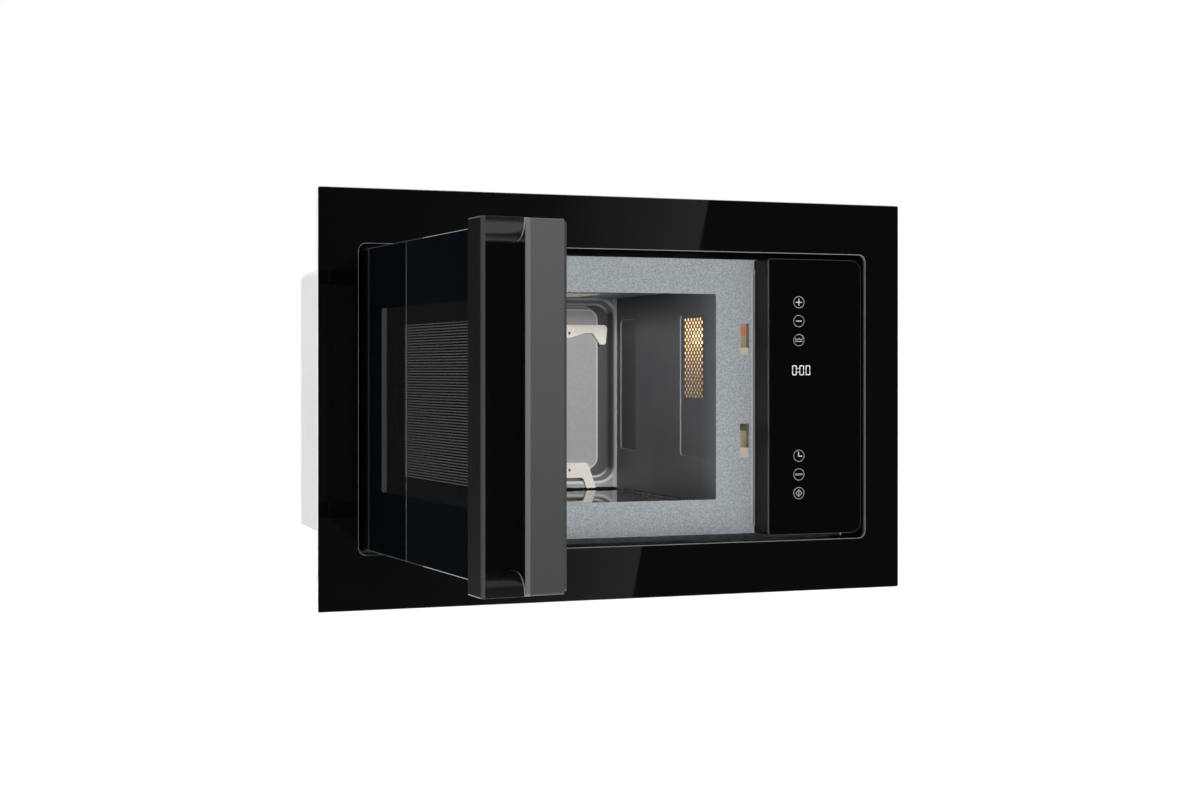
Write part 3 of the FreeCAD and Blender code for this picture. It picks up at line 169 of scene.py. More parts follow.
strip_tree, strip_glow = glowing_sheet(
    "soft_strip", strip_size, strip_place, (half_pi, strip_lean, 0), (0.92, 0.98, 1.0))[:2]
strip_shift = strip_tree.nodes.new("ShaderNodeMath")
strip_shift.operation = "ADD"
strip_shift.inputs[1].default_value = 0.5
strip_fade = strip_tree.nodes.new("ShaderNodeValToRGB")
strip_fade.color_ramp.elements.new(0.6)
for stop, shade in zip(strip_fade.color_ramp.elements, (0.05, 0.1, 0.44)):
    stop.color = (shade, shade, shade, 1.0)
wire(
    strip_tree,
    (axes_of(strip_tree).outputs["X"], strip_shift.inputs[0]),
    (strip_shift.outputs[0], strip_fade.inputs["Fac"]),
    (strip_fade.outputs["Color"], strip_glow.inputs["Strength"]))


def soft_lamp(name, place, aim, size, power, colour):
    """Large soft square light aimed at a point of the oven; polished glass doesn't mirror it."""
    towards = Vector(aim) - Vector(place)
    turn = towards.to_track_quat("-Z", "Y").to_euler()
    bpy.ops.object.light_add(type="AREA", location=place, rotation=turn)
    lamp = bpy.context.object
    lamp.name = name
    lamp.data.shape = "RECTANGLE"
    lamp.data.size = size
    lamp.data.size_y = size
    lamp.data.energy = power
    lamp.data.color = colour
    lamp.visible_glossy = False


soft_lamp("front_light", (0.06, -3.9, 0.35), (0.05, 0, 0), 0.6, 140.0, (1.0, 0.99, 0.98))
soft_lamp("left_light", (-2.2, 0.6, 0.5), (-0.25, 0.2, 0), 1.4, 36.0, (0.98, 0.99, 1.0))
soft_lamp("right_light", (2.2, 0.7, 0.5), (0.25, 0.2, 0), 1.4, 38.0, (0.98, 0.99, 1.0))
soft_lamp("top_light", (0.0, 0.35, 2.4), (0, 0.2, 0.13), 1.2, 40.0, (1.0, 1.0, 1.0))


# Trim glass. A frame of black back-printed glass, four millimetres thick, with polished and eased
# edges; it is bonded to a folded steel tray, painted black, that four strips tie to the cabinet.
def group_sockets(group, inputs, outputs):
    """Named sockets of a shader group, with its input and output nodes."""
    for name, kind in inputs:
        group.interface.new_socket(name, in_out="INPUT", socket_type="NodeSocket" + kind)
    for name, kind in outputs:
        group.interface.new_socket(name, in_out="OUTPUT", socket_type="NodeSocket" + kind)
    return group.nodes.new("NodeGroupInput"), group.nodes.new("NodeGroupOutput")


# Grain shared by paints, mouldings and sheet metal: a mottled colour, an uneven gloss and a fine bump.
surface_grain = bpy.data.node_groups.new("surface_grain", "ShaderNodeTree")
grain_in, grain_out = group_sockets(
    surface_grain,
    (("Scale", "Float"), ("Stretch", "Vector"), ("Dark", "Color"), ("Light", "Color"),
     ("Smooth", "Float"), ("Rough", "Float"), ("Bump", "Float")),
    (("Color", "Color"), ("Roughness", "Float"), ("Normal", "Vector")))
grain_place = surface_grain.nodes.new("ShaderNodeTexCoord")
grain_stretch = surface_grain.nodes.new("ShaderNodeVectorMath")
grain_stretch.operation = "MULTIPLY"
grain_fine = new_node(surface_grain, "ShaderNodeTexNoise", {"Detail": 3.0, "Roughness": 0.6})
grain_broad = new_node(surface_grain, "ShaderNodeTexNoise", {"Scale": 14.0, "Detail": 4.0})
grain_ramp = new_node(surface_grain, "ShaderNodeMapRange", {"From Min": 0.32, "From Max": 0.68})
grain_mix = surface_grain.nodes.new("ShaderNodeMix")
grain_mix.data_type = "RGBA"
grain_gloss = new_node(surface_grain, "ShaderNodeMapRange", {"From Min": 0.35, "From Max": 0.65})
grain_bump = new_node(surface_grain, "ShaderNodeBump", {"Distance": 0.0002})
wire(
    surface_grain,
    (grain_place.outputs["Object"], grain_stretch.inputs[0]),
    (grain_in.outputs["Stretch"], grain_stretch.inputs[1]),
    (grain_stretch.outputs[0], grain_fine.inputs["Vector"]),
    (grain_in.outputs["Scale"], grain_fine.inputs["Scale"]),
    (grain_place.outputs["Object"], grain_broad.inputs["Vector"]),
    (grain_fine.outputs["Fac"], grain_ramp.inputs["Value"]),
    (grain_ramp.outputs["Result"], grain_mix.inputs[0]),
    (grain_in.outputs["Dark"], grain_mix.inputs[6]),
    (grain_in.outputs["Light"], grain_mix.inputs[7]),
    (grain_mix.outputs[2], grain_out.inputs["Color"]),
    (grain_broad.outputs["Fac"], grain_gloss.inputs["Value"]),
    (grain_in.outputs["Smooth"], grain_gloss.inputs["To Min"]),
    (grain_in.outputs["Rough"], grain_gloss.inputs["To Max"]),
    (grain_gloss.outputs["Result"], grain_out.inputs["Roughness"]),
    (grain_fine.outputs["Fac"], grain_bump.inputs["Height"]),
    (grain_in.outputs["Bump"], grain_bump.inputs["Strength"]),
    (grain_bump.outputs["Normal"], grain_out.inputs["Normal"]))


def new_finish(name):
    """Material with a Principled shader, its node tree and that shader."""
    material = bpy.data.materials.new(name)
    material.use_nodes = True
    return material, material.node_tree, material.node_tree.nodes["Principled BSDF"]


def grained(name, dark, light, gloss, scale, bump, metallic=0.0, stretch=(1.0, 1.0, 1.0)):
    """Principled material whose colour, roughness and normal come from the grain group."""
    material, tree, shader = new_finish(name)
    grain = tree.nodes.new("ShaderNodeGroup")
    grain.node_tree = surface_grain
    for socket, value in (
        ("Scale", scale), ("Stretch", stretch), ("Dark", (*dark, 1.0)), ("Light", (*light, 1.0)),
        ("Smooth", gloss[0]), ("Rough", gloss[1]), ("Bump", bump),
    ):
        grain.inputs[socket].default_value = value
    shader.inputs["Metallic"].default_value = metallic
    for output, socket in (("Color", "Base Color"), ("Roughness", "Roughness"), ("Normal", "Normal")):
        tree.links.new(grain.outputs[output], shader.inputs[socket])
    return material


def dress(material, *nodes):
    """Gives CAD nodes a finish in their own material slots."""
    for name in nodes:
        for slot in frame["nodes"][name].material_slots:
            slot.material = material


# Polished edges of a pane: 0 on the flat face that looks along Face, 1 on the eased and ground edges.
glass_edges = bpy.data.node_groups.new("glass_edges", "ShaderNodeTree")
edges_in, edges_out = group_sockets(
    glass_edges,
    (("Face", "Vector"), ("Print", "Color"), ("Edge", "Color"), ("Smooth", "Float"), ("Rough", "Float")),
    (("Color", "Color"), ("Roughness", "Float")))
edges_place = glass_edges.nodes.new("ShaderNodeTexCoord")
edges_facing = glass_edges.nodes.new("ShaderNodeVectorMath")
edges_facing.operation = "DOT_PRODUCT"
edges_flat = glass_edges.nodes.new("ShaderNodeMath")
edges_flat.operation = "ABSOLUTE"
edges_mask = new_node(glass_edges, "ShaderNodeMapRange", {"From Min": 0.95, "From Max": 0.8})
edges_mix = glass_edges.nodes.new("ShaderNodeMix")
edges_mix.data_type = "RGBA"
edges_wipe = new_node(glass_edges, "ShaderNodeTexNoise", {"Scale": 18.0, "Detail": 5.0})
edges_gloss = new_node(glass_edges, "ShaderNodeMapRange", {"From Min": 0.4, "From Max": 0.7})
wire(
    glass_edges,
    (edges_place.outputs["Normal"], edges_facing.inputs[0]),
    (edges_in.outputs["Face"], edges_facing.inputs[1]),
    (edges_facing.outputs["Value"], edges_flat.inputs[0]),
    (edges_flat.outputs[0], edges_mask.inputs["Value"]),
    (edges_mask.outputs["Result"], edges_mix.inputs[0]),
    (edges_in.outputs["Print"], edges_mix.inputs[6]),
    (edges_in.outputs["Edge"], edges_mix.inputs[7]),
    (edges_mix.outputs[2], edges_out.inputs["Color"]),
    (edges_place.outputs["Object"], edges_wipe.inputs["Vector"]),
    (edges_wipe.outputs["Fac"], edges_gloss.inputs["Value"]),
    (edges_in.outputs["Smooth"], edges_gloss.inputs["To Min"]),
    (edges_in.outputs["Rough"], edges_gloss.inputs["To Max"]),
    (edges_gloss.outputs["Result"], edges_out.inputs["Roughness"]))


def two_tone(name, face, flat, edge, gloss):
    """Material with one colour on the face that looks along a direction and another on its edges."""
    material, tree, shader = new_finish(name)
    pane = tree.nodes.new("ShaderNodeGroup")
    pane.node_tree = glass_edges
    for socket, value in (
        ("Face", face), ("Print", (*flat, 1.0)), ("Edge", (*edge, 1.0)), ("Smooth", gloss[0]), ("Rough", gloss[1]),
    ):
        pane.inputs[socket].default_value = value
    tree.links.new(pane.outputs["Color"], shader.inputs["Base Color"])
    tree.links.new(pane.outputs["Roughness"], shader.inputs["Roughness"])
    return material, tree, pane


def times(tree, first, second):
    """Product of two masks."""
    product = tree.nodes.new("ShaderNodeMath")
    product.operation = "MULTIPLY"
    wire(tree, (first, product.inputs[0]), (second, product.inputs[1]))
    return product.outputs[0]


def step_between(tree, value, low, high, soft):
    """Mask that is 1 between two limits of a coordinate and fades over a soft edge."""
    rise = new_node(tree, "ShaderNodeMapRange", {"From Min": low - soft, "From Max": low + soft})
    fall = new_node(tree, "ShaderNodeMapRange", {"From Min": high + soft, "From Max": high - soft})
    wire(tree, (value, rise.inputs["Value"]), (value, fall.inputs["Value"]))
    return times(tree, rise.outputs["Result"], fall.outputs["Result"])


def patch(tree, axes, **limits):
    """Mask of a patch: each axis named has a low limit, a high one and the softness of its edges."""
    mask = None
    for axis, (low, high, soft) in limits.items():
        band = step_between(tree, axes.outputs[axis], low, high, soft)
        mask = band if mask is None else times(tree, mask, band)
    return mask


def tinted(tree, mask, under, over):
    """Colour that goes from one to the other with a mask; either is a colour or another mix."""
    mix = tree.nodes.new("ShaderNodeMix")
    mix.data_type = "RGBA"
    tree.links.new(mask, mix.inputs[0])
    for value, socket in ((under, mix.inputs[6]), (over, mix.inputs[7])):
        if isinstance(value, tuple):
            socket.default_value = (*value, 1.0)
        else:
            tree.links.new(value, socket)
    return mix.outputs[2]


toward_room = (0.0, -1.0, 0.0)
print_black = (0.0006, 0.0007, 0.0008)
glass_gloss = (0.01, 0.035)
ground_edge = (0.2, 0.21, 0.21)
trim_print, trim_tree, trim_pane = two_tone("trim_black_glass", toward_room, print_black, ground_edge, glass_gloss)
trim_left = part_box("trim_glass")[0].x
edge_reach = 0.001
# The polished left edge of the trim glass is painted near white, a painted highlight.
left_edge_highlight = patch(trim_tree, axes_of(trim_tree), X=(trim_left - edge_reach, trim_left + edge_reach, 0.0002))
trim_tree.links.new(tinted(trim_tree, left_edge_highlight, ground_edge, (0.9, 0.9, 0.9)), trim_pane.inputs["Edge"])
dress(trim_print, "trim_glass")
frame_paint = grained("frame_black_paint", (0.003, 0.003, 0.003), (0.006, 0.006, 0.0065), (0.35, 0.5), 900, 0.25)
dress(frame_paint, "trim_frame", "hinge_brackets")
zinc = grained("zinc_plated_sheet", (0.46, 0.47, 0.48), (0.62, 0.63, 0.64), (0.28, 0.42), 160, 0.08, 1.0)
dress(zinc, "trim_brackets", "waveguide", "base_plate", "magnetron_yoke")


# Outer cabinet. White painted steel folded over the sides and the top, closed by a rear sheet with
# vents and a rubber bush for the lead; sheet-metal screws hold the strips and hinge arms to it.
cabinet_paint = grained("cabinet_white_paint", (0.72, 0.725, 0.73), (0.8, 0.8, 0.8), (0.38, 0.5), 700, 0.2)
dress(cabinet_paint, "cabinet_wrap", "rear_panel")
bush_rubber = grained("bush_black_rubber", (0.01, 0.01, 0.01), (0.018, 0.018, 0.018), (0.55, 0.7), 1200, 0.3)
dress(bush_rubber, "cord_gland")
bright_steel = grained("bright_fastener_steel", (0.5, 0.5, 0.51), (0.66, 0.66, 0.67), (0.2, 0.32), 300, 0.1, 1.0)
dress(bright_steel, "chassis_screws", "hinge_pins", "lever_pin", "handle_screws", "latch_spring")


# Front plate. Pressed steel round the oven's mouth in a pale grey metallic paint with coarse flakes,
# spot-welded to the cavity; its edges are bevelled so that the punched rims catch the light.
def merged_copy(node, name):
    """Copy of a CAD node with its faces merged, riding on the same body and standing for the node."""
    source = frame["nodes"][node]
    bpy.ops.object.select_all(action="DESELECT")
    source.select_set(True)
    bpy.context.view_layer.objects.active = source
    bpy.ops.object.duplicate()
    copy = bpy.context.object
    copy.parent = None
    copy.matrix_world = Matrix.Identity(4)
    copy.name = name
    for key in list(copy.keys()):
        del copy[key]
    bpy.ops.object.mode_set(mode="EDIT")
    bpy.ops.mesh.select_all(action="SELECT")
    bpy.ops.mesh.remove_doubles(threshold=0.000005)
    bpy.ops.mesh.dissolve_limited(angle_limit=math.radians(1.0))
    bpy.ops.mesh.customdata_custom_splitnormals_clear()
    bpy.ops.object.mode_set(mode="OBJECT")
    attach(copy, source["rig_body"])
    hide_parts(node)
    return copy


def flat_shading(piece):
    """Smooth shading over the rounded edges that leaves the large faces truly flat."""
    bpy.ops.object.shade_smooth_by_angle(angle=math.radians(40))
    flats = piece.modifiers.new("flats", "WEIGHTED_NORMAL")
    flats.keep_sharp = True
    bpy.ops.object.modifier_apply(modifier="flats")


def rounded_copy(node, name, width, segments, angle=30.0):
    """Merged copy of a CAD node with its sharp edges rounded."""
    copy = merged_copy(node, name)
    rounding = copy.modifiers.new("rounding", "BEVEL")
    rounding.width = width
    rounding.segments = segments
    rounding.limit_method = "ANGLE"
    rounding.angle_limit = math.radians(angle)
    bpy.ops.object.modifier_apply(modifier="rounding")
    flat_shading(copy)
    return copy


def coat(piece, material):
    """One finish all over a new piece."""
    piece.data.materials.clear()
    piece.data.materials.append(material)


def tint(material, *layers):
    """Lays tints over a grained finish one after another, each under its own mask."""
    tree = material.node_tree
    colour = tree.nodes["Group"].outputs["Color"]
    for mask, over in layers:
        colour = tinted(tree, mask, colour, over)
    tree.links.new(colour, tree.nodes["Principled BSDF"].inputs["Base Color"])


# The lip bent back beside the control box is painted darker, a painted shade, and the crease before it paler, a
# painted highlight.
flake_paint = grained(
    "front_grey_flake_paint", (0.2, 0.227, 0.247), (0.405, 0.436, 0.456), (0.38, 0.5), 900, 0.35, 0.25)
flake_tree = flake_paint.node_tree
flake_axes = axes_of(flake_tree)
lip_x = (0.1506, 0.153)
lip_z = (-0.127, 0.123)
crease_x = (lip_x[0] - 0.001, lip_x[0])
crease_highlight = patch(flake_tree, flake_axes, X=(*crease_x, 0.0002), Z=(*lip_z, 0.001))
lip_shade = patch(flake_tree, flake_axes, X=(*lip_x, 0.0002), Z=(*lip_z, 0.001))
tint(flake_paint, (crease_highlight, (0.45, 0.48, 0.5)), (lip_shade, (0.222, 0.226, 0.228)))
coat(rounded_copy("front_plate", "front_plate_pressing", 0.0004, 2), flake_paint)


# Cavity. Steel sheets in grey satin enamel: the side walls, the punched ceiling, the rear wall with
# a groove pressed round its flat middle, and the floor pan; the seams are folded and spot-welded.
def set_shader(material, socket, value):
    """Sets one number of a finish that is the same all over."""
    material.node_tree.nodes["Principled BSDF"].inputs[socket].default_value = value


enamel_gloss = (0.34, 0.46)
enamel = grained("cavity_grey_enamel", (0.226, 0.234, 0.266), (0.258, 0.266, 0.298), enamel_gloss, 420, 0.12)
set_shader(enamel, "Specular IOR Level", 0.25)
dress(enamel, "cavity_left_wall", "cavity_floor_pan")


def eased_edges(piece, chosen, width, segments):
    """Rounds only the edges whose two ends pass a test, as a press bends the sheet there."""
    bpy.ops.object.mode_set(mode="EDIT")
    bpy.ops.mesh.select_mode(type="EDGE")
    bpy.ops.mesh.select_all(action="DESELECT")
    bpy.ops.object.mode_set(mode="OBJECT")
    for edge in piece.data.edges:
        edge.select = chosen(*(piece.data.vertices[i].co for i in edge.vertices))
    bpy.ops.object.mode_set(mode="EDIT")
    bpy.ops.mesh.bevel(offset=width, segments=segments, affect="EDGES")
    bpy.ops.object.mode_set(mode="OBJECT")
    flat_shading(piece)


def on_one_level(places, *levels):
    """True if both ends of an edge lie on the same one of some levels."""
    tolerance = 0.00005
    return any(all(abs(place - level) <= tolerance for place in places) for level in levels)


# The two shallow recesses of the right wall have soft outlines, above and below their bend.
right_wall = merged_copy("cavity_right_wall", "right_wall_pressing")
wall_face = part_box("cavity_right_wall")[0].x
recess_floor = wall_face + 0.0015
recess_z = (-0.063, 0.084)
recess_outlines = ((0.051, 0.126), (0.26, 0.308))
corner_bow = 0.0016
slack = 0.0002


def on_recess_outline(first, second):
    """True for an edge that runs round a recess, on the wall or on the recess's floor."""
    if not on_one_level((first.x, second.x), wall_face, recess_floor):
        return False
    for low, high in recess_outlines:
        inset = [
            min(end.y - low, high - end.y, end.z - recess_z[0], recess_z[1] - end.z) for end in (first, second)]
        if all(-slack < depth < corner_bow for depth in inset):
            return True
    return False


eased_edges(right_wall, on_recess_outline, 0.0006, 2)

# Painted light on the wall's enamel: painted highlights over the bends of the recesses, a paler tone beside the
# mouth where the light comes in, and painted shade in the rear recess and under the ceiling. A mask that is open
# to one side ends at far, past every surface.
far = 1.0
wall_enamel = enamel.copy()
wall_enamel.name = "right_wall_enamel"
wall_tree = wall_enamel.node_tree
wall_axes = axes_of(wall_tree)
bends_z = (recess_z[0] - 0.002, recess_z[1] + 0.002)
shade_under_ceiling = patch(wall_tree, wall_axes, Z=(0.092, far, 0.03), Y=(0.1, far, 0.05))
light_beside_mouth = patch(wall_tree, wall_axes, Y=(-far, 0.05, 0.02))
rear_recess_shade = patch(
    wall_tree, wall_axes, X=(recess_floor - slack, recess_floor + slack, 0.0001), Y=(*recess_outlines[1], 0.0005))
bend_highlight = times(
    wall_tree,
    patch(wall_tree, axes_of(wall_tree, "Normal"), X=(-0.97, 0.5, 0.02)),
    patch(wall_tree, wall_axes, Z=(*bends_z, 0.0005)))
tint(
    wall_enamel,
    (shade_under_ceiling, (0.01, 0.01, 0.011)), (light_beside_mouth, (0.34, 0.355, 0.375)),
    (rear_recess_shade, (0.16, 0.165, 0.175)), (bend_highlight, (0.42, 0.43, 0.44)))
coat(right_wall, wall_enamel)

# The walls of the ceiling's punched holes have a warm painted glow that stands for light over the ceiling.
ceiling_enamel = enamel.copy()
ceiling_enamel.name = "ceiling_enamel"
ceiling_tree = ceiling_enamel.node_tree
ceiling_low, ceiling_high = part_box("cavity_ceiling")
ceiling_rim = 0.004
inside_x = (ceiling_low.x + ceiling_rim, ceiling_high.x - ceiling_rim)
inside_y = (ceiling_low.y + ceiling_rim, ceiling_high.y - ceiling_rim)
hole_walls = times(
    ceiling_tree,
    patch(ceiling_tree, axes_of(ceiling_tree, "Normal"), Z=(-0.5, 0.5, 0.1)),
    patch(ceiling_tree, axes_of(ceiling_tree), X=(*inside_x, 0.001), Y=(*inside_y, 0.001)))
painted_hole_glow = tinted(ceiling_tree, hole_walls, (0.0, 0.0, 0.0), (1.0, 0.84, 0.64))
ceiling_tree.links.new(painted_hole_glow, ceiling_tree.nodes["Principled BSDF"].inputs["Emission Color"])
set_shader(ceiling_enamel, "Emission Strength", 0.9)
dress(ceiling_enamel, "cavity_ceiling")

# The groove of the rear wall is pressed with soft bends, so its four lines of edges are eased.
rear_wall = merged_copy("cavity_rear_wall", "rear_wall_pressing")
rear_low, rear_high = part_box("cavity_rear_wall")
rear_face = rear_low.y
groove_floor = rear_face + 0.015
rear_rim = 0.0015


def on_groove_edge(first, second):
    """True for an edge along the groove's rims or floor, away from the sheet's own outline."""
    if not on_one_level((first.y, second.y), rear_face, groove_floor):
        return False
    return all(rear_low.x + rear_rim < end.x < rear_high.x - rear_rim and end.z < rear_high.z - rear_rim
               for end in (first, second))


eased_edges(rear_wall, on_groove_edge, 0.0028, 6)

# Painted light on the rear wall's enamel, which is made paler than the other walls: painted highlights over the
# groove's rolled edges and its outer rim, and painted shade down in the groove.
lit_rear_enamel = grained("rear_wall_enamel", (0.36, 0.375, 0.38), (0.41, 0.425, 0.43), enamel_gloss, 420, 0.12)
rear_tree = lit_rear_enamel.node_tree
rear_axes = axes_of(rear_tree)
rear_lean = axes_of(rear_tree, "Normal")
rim_x = (rear_high.x - 0.006, rear_high.x)
rim_y = (rear_face - 0.001, rear_face + 0.003)
rolled_edge_highlight = patch(rear_tree, rear_lean, Y=(-0.97, -0.4, 0.025))
groove_shade = times(
    rear_tree,
    patch(rear_tree, rear_axes, Y=(rear_face + 0.004, far, 0.003)),
    patch(rear_tree, rear_lean, Z=(-0.4, 0.4, 0.2)))
rim_highlight = patch(rear_tree, rear_axes, X=(*rim_x, 0.0005), Y=(*rim_y, 0.0008))
tint(
    lit_rear_enamel,
    (rolled_edge_highlight, (0.75, 0.77, 0.775)), (groove_shade, (0.105, 0.108, 0.114)), (rim_highlight, (0.56, 0.58, 0.59)))
coat(rear_wall, lit_rear_enamel)


# Cavity floor. A flat plate of dark glass-ceramic with a gloss glaze, bedded all round in a bead of
# black silicone that was laid by hand and rises and falls a little.
ceramic_glaze = grained(
    "ceramic_floor_glaze", (0.05, 0.052, 0.054), (0.062, 0.064, 0.066), (0.03, 0.07), 260, 0.02)
set_shader(ceramic_glaze, "Specular IOR Level", 0.2)
dress(ceramic_glaze, "ceramic_floor")
seal_low, seal_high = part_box("floor_seal")
seal_middle = (seal_low + seal_high) / 2
bead_r = 0.0026
bead_lift = 0.0004
bpy.ops.object.select_all(action="DESELECT")
bpy.ops.mesh.primitive_plane_add(size=1.0)
bead = bpy.context.object
bead.name = "floor_silicone_bead"
bpy.ops.object.mode_set(mode="EDIT")
bead_span = seal_high - seal_low - Vector((2 * bead_r, 2 * bead_r, 0))
bpy.ops.transform.resize(value=(bead_span.x, bead_span.y, 1.0))
bpy.ops.transform.translate(value=(seal_middle.x, seal_middle.y, seal_high.z + bead_lift))
bpy.ops.mesh.delete(type="ONLY_FACE")
bpy.ops.mesh.select_all(action="SELECT")
bpy.ops.mesh.subdivide(number_cuts=80)
bpy.ops.object.mode_set(mode="OBJECT")
bpy.ops.object.convert(target="CURVE")
bead.data.bevel_depth = bead_r
bead.data.bevel_resolution = 3
bpy.ops.object.convert(target="MESH")
bead_wave = bpy.data.textures.new("bead_wave", "CLOUDS")
bead_wave.noise_scale = 0.018
lumps = bead.modifiers.new("lumps", "DISPLACE")
lumps.texture = bead_wave
lumps.texture_coords = "LOCAL"
lumps.strength = 0.0014
lumps.mid_level = 0.62
bpy.ops.object.modifier_apply(modifier="lumps")
bpy.ops.object.shade_smooth()
silicone = grained("black_silicone", (0.005, 0.005, 0.005), (0.009, 0.009, 0.009), (0.22, 0.4), 300, 0.2)
coat(bead, silicone)
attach(bead, "oven")
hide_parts("floor_seal")


# Rear rests. Cream heat-proof mouldings clipped to the rear wall above and below; each has
# a soft rim all round, as the tool leaves it.
cream = grained("cream_heatproof_moulding", (0.82, 0.785, 0.72), (0.88, 0.845, 0.78), (0.35, 0.48), 520, 0.12)
for node in ("rear_rest_upper", "rear_rest_lower"):
    coat(rounded_copy(node, node + "_moulding", 0.0009, 3), cream)


# Lamp. A round clear bulb in a ceramic socket, in its own box, enamelled white inside, behind the
# punched field of the right wall; it burns warm, and its light comes through the holes.
def speckle(tree, scale):
    """Noise laid over a surface on its own coordinates."""
    place = tree.nodes.new("ShaderNodeTexCoord")
    noise = new_node(tree, "ShaderNodeTexNoise", {"Scale": scale})
    tree.links.new(place.outputs["Object"], noise.inputs["Vector"])
    return noise.outputs["Fac"]


def glowing(name, base, roughness, strength, scale, dim, bright, spread=(0.0, 1.0)):
    """Lit material whose glow goes unevenly from a dim to a bright colour over the surface."""
    material, tree, shader = new_finish(name)
    set_shader(material, "Base Color", (*base, 1.0))
    set_shader(material, "Roughness", roughness)
    set_shader(material, "Emission Strength", strength)
    heat = tree.nodes.new("ShaderNodeValToRGB")
    for stop, position, colour in zip(heat.color_ramp.elements, spread, (dim, bright)):
        stop.position = position
        stop.color = (*colour, 1.0)
    wire(
        tree,
        (speckle(tree, scale), heat.inputs["Fac"]), (heat.outputs["Color"], shader.inputs["Emission Color"]))
    return material


lamp_glow = glowing(
    "lamp_warm_glow", (1.0, 0.7, 0.35), 0.15, 6.0, 140.0, (1.0, 0.5, 0.18), (1.0, 0.74, 0.42), (0.35, 0.65))
dress(lamp_glow, "lamp_bulb")
lamp_box = grained("lamp_box_white_enamel", (0.84, 0.82, 0.78), (0.9, 0.88, 0.84), (0.35, 0.5), 300, 0.1)
box_tree = lamp_box.node_tree
# Round the bulb's height the box's enamel has a warm painted glow, a painted pool of the bulb's light.
bulb_low, bulb_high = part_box("lamp_bulb")
lit_z = (bulb_low.z - 0.012, bulb_high.z + 0.03)
near_bulb = patch(box_tree, axes_of(box_tree), Z=(*lit_z, 0.022))
painted_box_glow = tinted(box_tree, near_bulb, (0.08, 0.055, 0.03), (0.96, 0.62, 0.27))
box_tree.links.new(painted_box_glow, box_tree.nodes["Principled BSDF"].inputs["Emission Color"])
set_shader(lamp_box, "Emission Strength", 1.0)
dress(lamp_box, "lamp_housing")
ceramic_white = grained("white_steatite", (0.7, 0.69, 0.66), (0.8, 0.79, 0.76), (0.6, 0.75), 500, 0.2)
dress(ceramic_white, "lamp_socket", "grill_holders")


# Grill. Two frosted quartz tubes in ceramic holders lie over the punched ceiling,
# under a bright folded reflector.
quartz = grained("frosted_quartz", (0.55, 0.54, 0.52), (0.7, 0.69, 0.67), (0.25, 0.4), 380, 0.1)
dress(quartz, "grill_tubes")
reflector = grained("bright_reflector_sheet", (0.7, 0.71, 0.72), (0.82, 0.83, 0.84), (0.12, 0.22), 220, 0.05, 1.0)
dress(reflector, "grill_reflector", "magnetron_core", "antenna", "capacitor", "thermostats")


# Latch. A beige moulded block behind the two slots of the front plate with its ramped catches, and
# the lever under the lower hook that works the safety switches screwed to the block's side.
latch_beige = grained("latch_beige_moulding", (0.36, 0.33, 0.275), (0.42, 0.386, 0.322), (0.4, 0.55), 600, 0.15)
latch_tree = latch_beige.node_tree
latch_axes = axes_of(latch_tree)
# Deep in the slots the block is painted paler to offset its shade, a warm orange-brown patch lies high in the
# upper slot, and painted shade lies in the lower slot over the lever.
latch_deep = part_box("latch_body")[0].y + 0.006
deep = patch(latch_tree, latch_axes, Y=(latch_deep, far, 0.0004))
warm_patch = times(latch_tree, deep, patch(latch_tree, latch_axes, Z=(0.062, 0.0705, 0.0005)))
shade_over_lever = times(latch_tree, deep, patch(latch_tree, latch_axes, Z=(-0.0346, -0.027, 0.0005)))
tint(
    latch_beige,
    (deep, (0.84, 0.8, 0.7)), (warm_patch, (1.0, 0.62, 0.42)), (shade_over_lever, (0.28, 0.265, 0.23)))
dress(latch_beige, "latch_body")
lever_cream = grained("lever_cream_moulding", (0.56, 0.49, 0.38), (0.64, 0.56, 0.45), (0.35, 0.5), 600, 0.15)
dress(lever_cream, "interlock_lever")
switch_black = grained("switch_black_moulding", (0.012, 0.012, 0.012), (0.02, 0.02, 0.02), (0.45, 0.6), 800, 0.2)
dress(switch_black, "micro_switches", "hv_diode")


# Door. Black back-printed glass over a dark moulded ring; a steel choke and a punched screen lie
# behind the window, closed on the oven's side by a clear pane and a moulded inner face.
door_open = math.radians(84.2)
hinge = Vector((-0.2424, 0.0086, 0.0))
door_turn = Matrix.Rotation(door_open, 3, "Z")
door_face = door_turn.inverted() @ Vector((0, -1, 0))


def shut_axes(tree):
    """Node with the X, Y and Z of a piece of the door, measured as when the door is shut."""
    place = tree.nodes.new("ShaderNodeTexCoord")
    shut = new_node(
        tree, "ShaderNodeMapping", {"Rotation": (0, 0, door_open), "Location": hinge - door_turn @ hinge})
    axes = tree.nodes.new("ShaderNodeSeparateXYZ")
    wire(tree, (place.outputs["Object"], shut.inputs["Vector"]), (shut.outputs["Vector"], axes.inputs[0]))
    return axes


# The print on the back of the glass: the window with a paler reveal at its hinge side; fine level lines on the
# screen's punched rows, a painted reflection, over its punched part except the strip nearest the hinge; and a
# bluish black between the hinge and the handle, a painted reflection.
door_glass, door_tree, door_pane = two_tone(
    "door_black_glass", door_face, print_black, (0.09, 0.094, 0.098), glass_gloss)
door_axes = shut_axes(door_tree)
window_x = (-0.1759, 0.0641)
window_z = (-0.0815, 0.0815)
reveal_x = (-0.1785, -0.1645)
lines_x = (-0.116, 0.049)
punched_x = (-0.161, 0.049)
punched_z = (-0.0652, 0.0652)
open_x = (hinge.x - 0.02, 0.075)
line_pitch = 0.0023
painted_bluish_reflection = patch(door_tree, door_axes, X=(*open_x, 0.003))
window_mask = patch(door_tree, door_axes, X=(*window_x, 0.0004), Z=(*window_z, 0.0004))
reveal_mask = patch(door_tree, door_axes, X=(*reveal_x, 0.0004), Z=(*window_z, 0.0004))
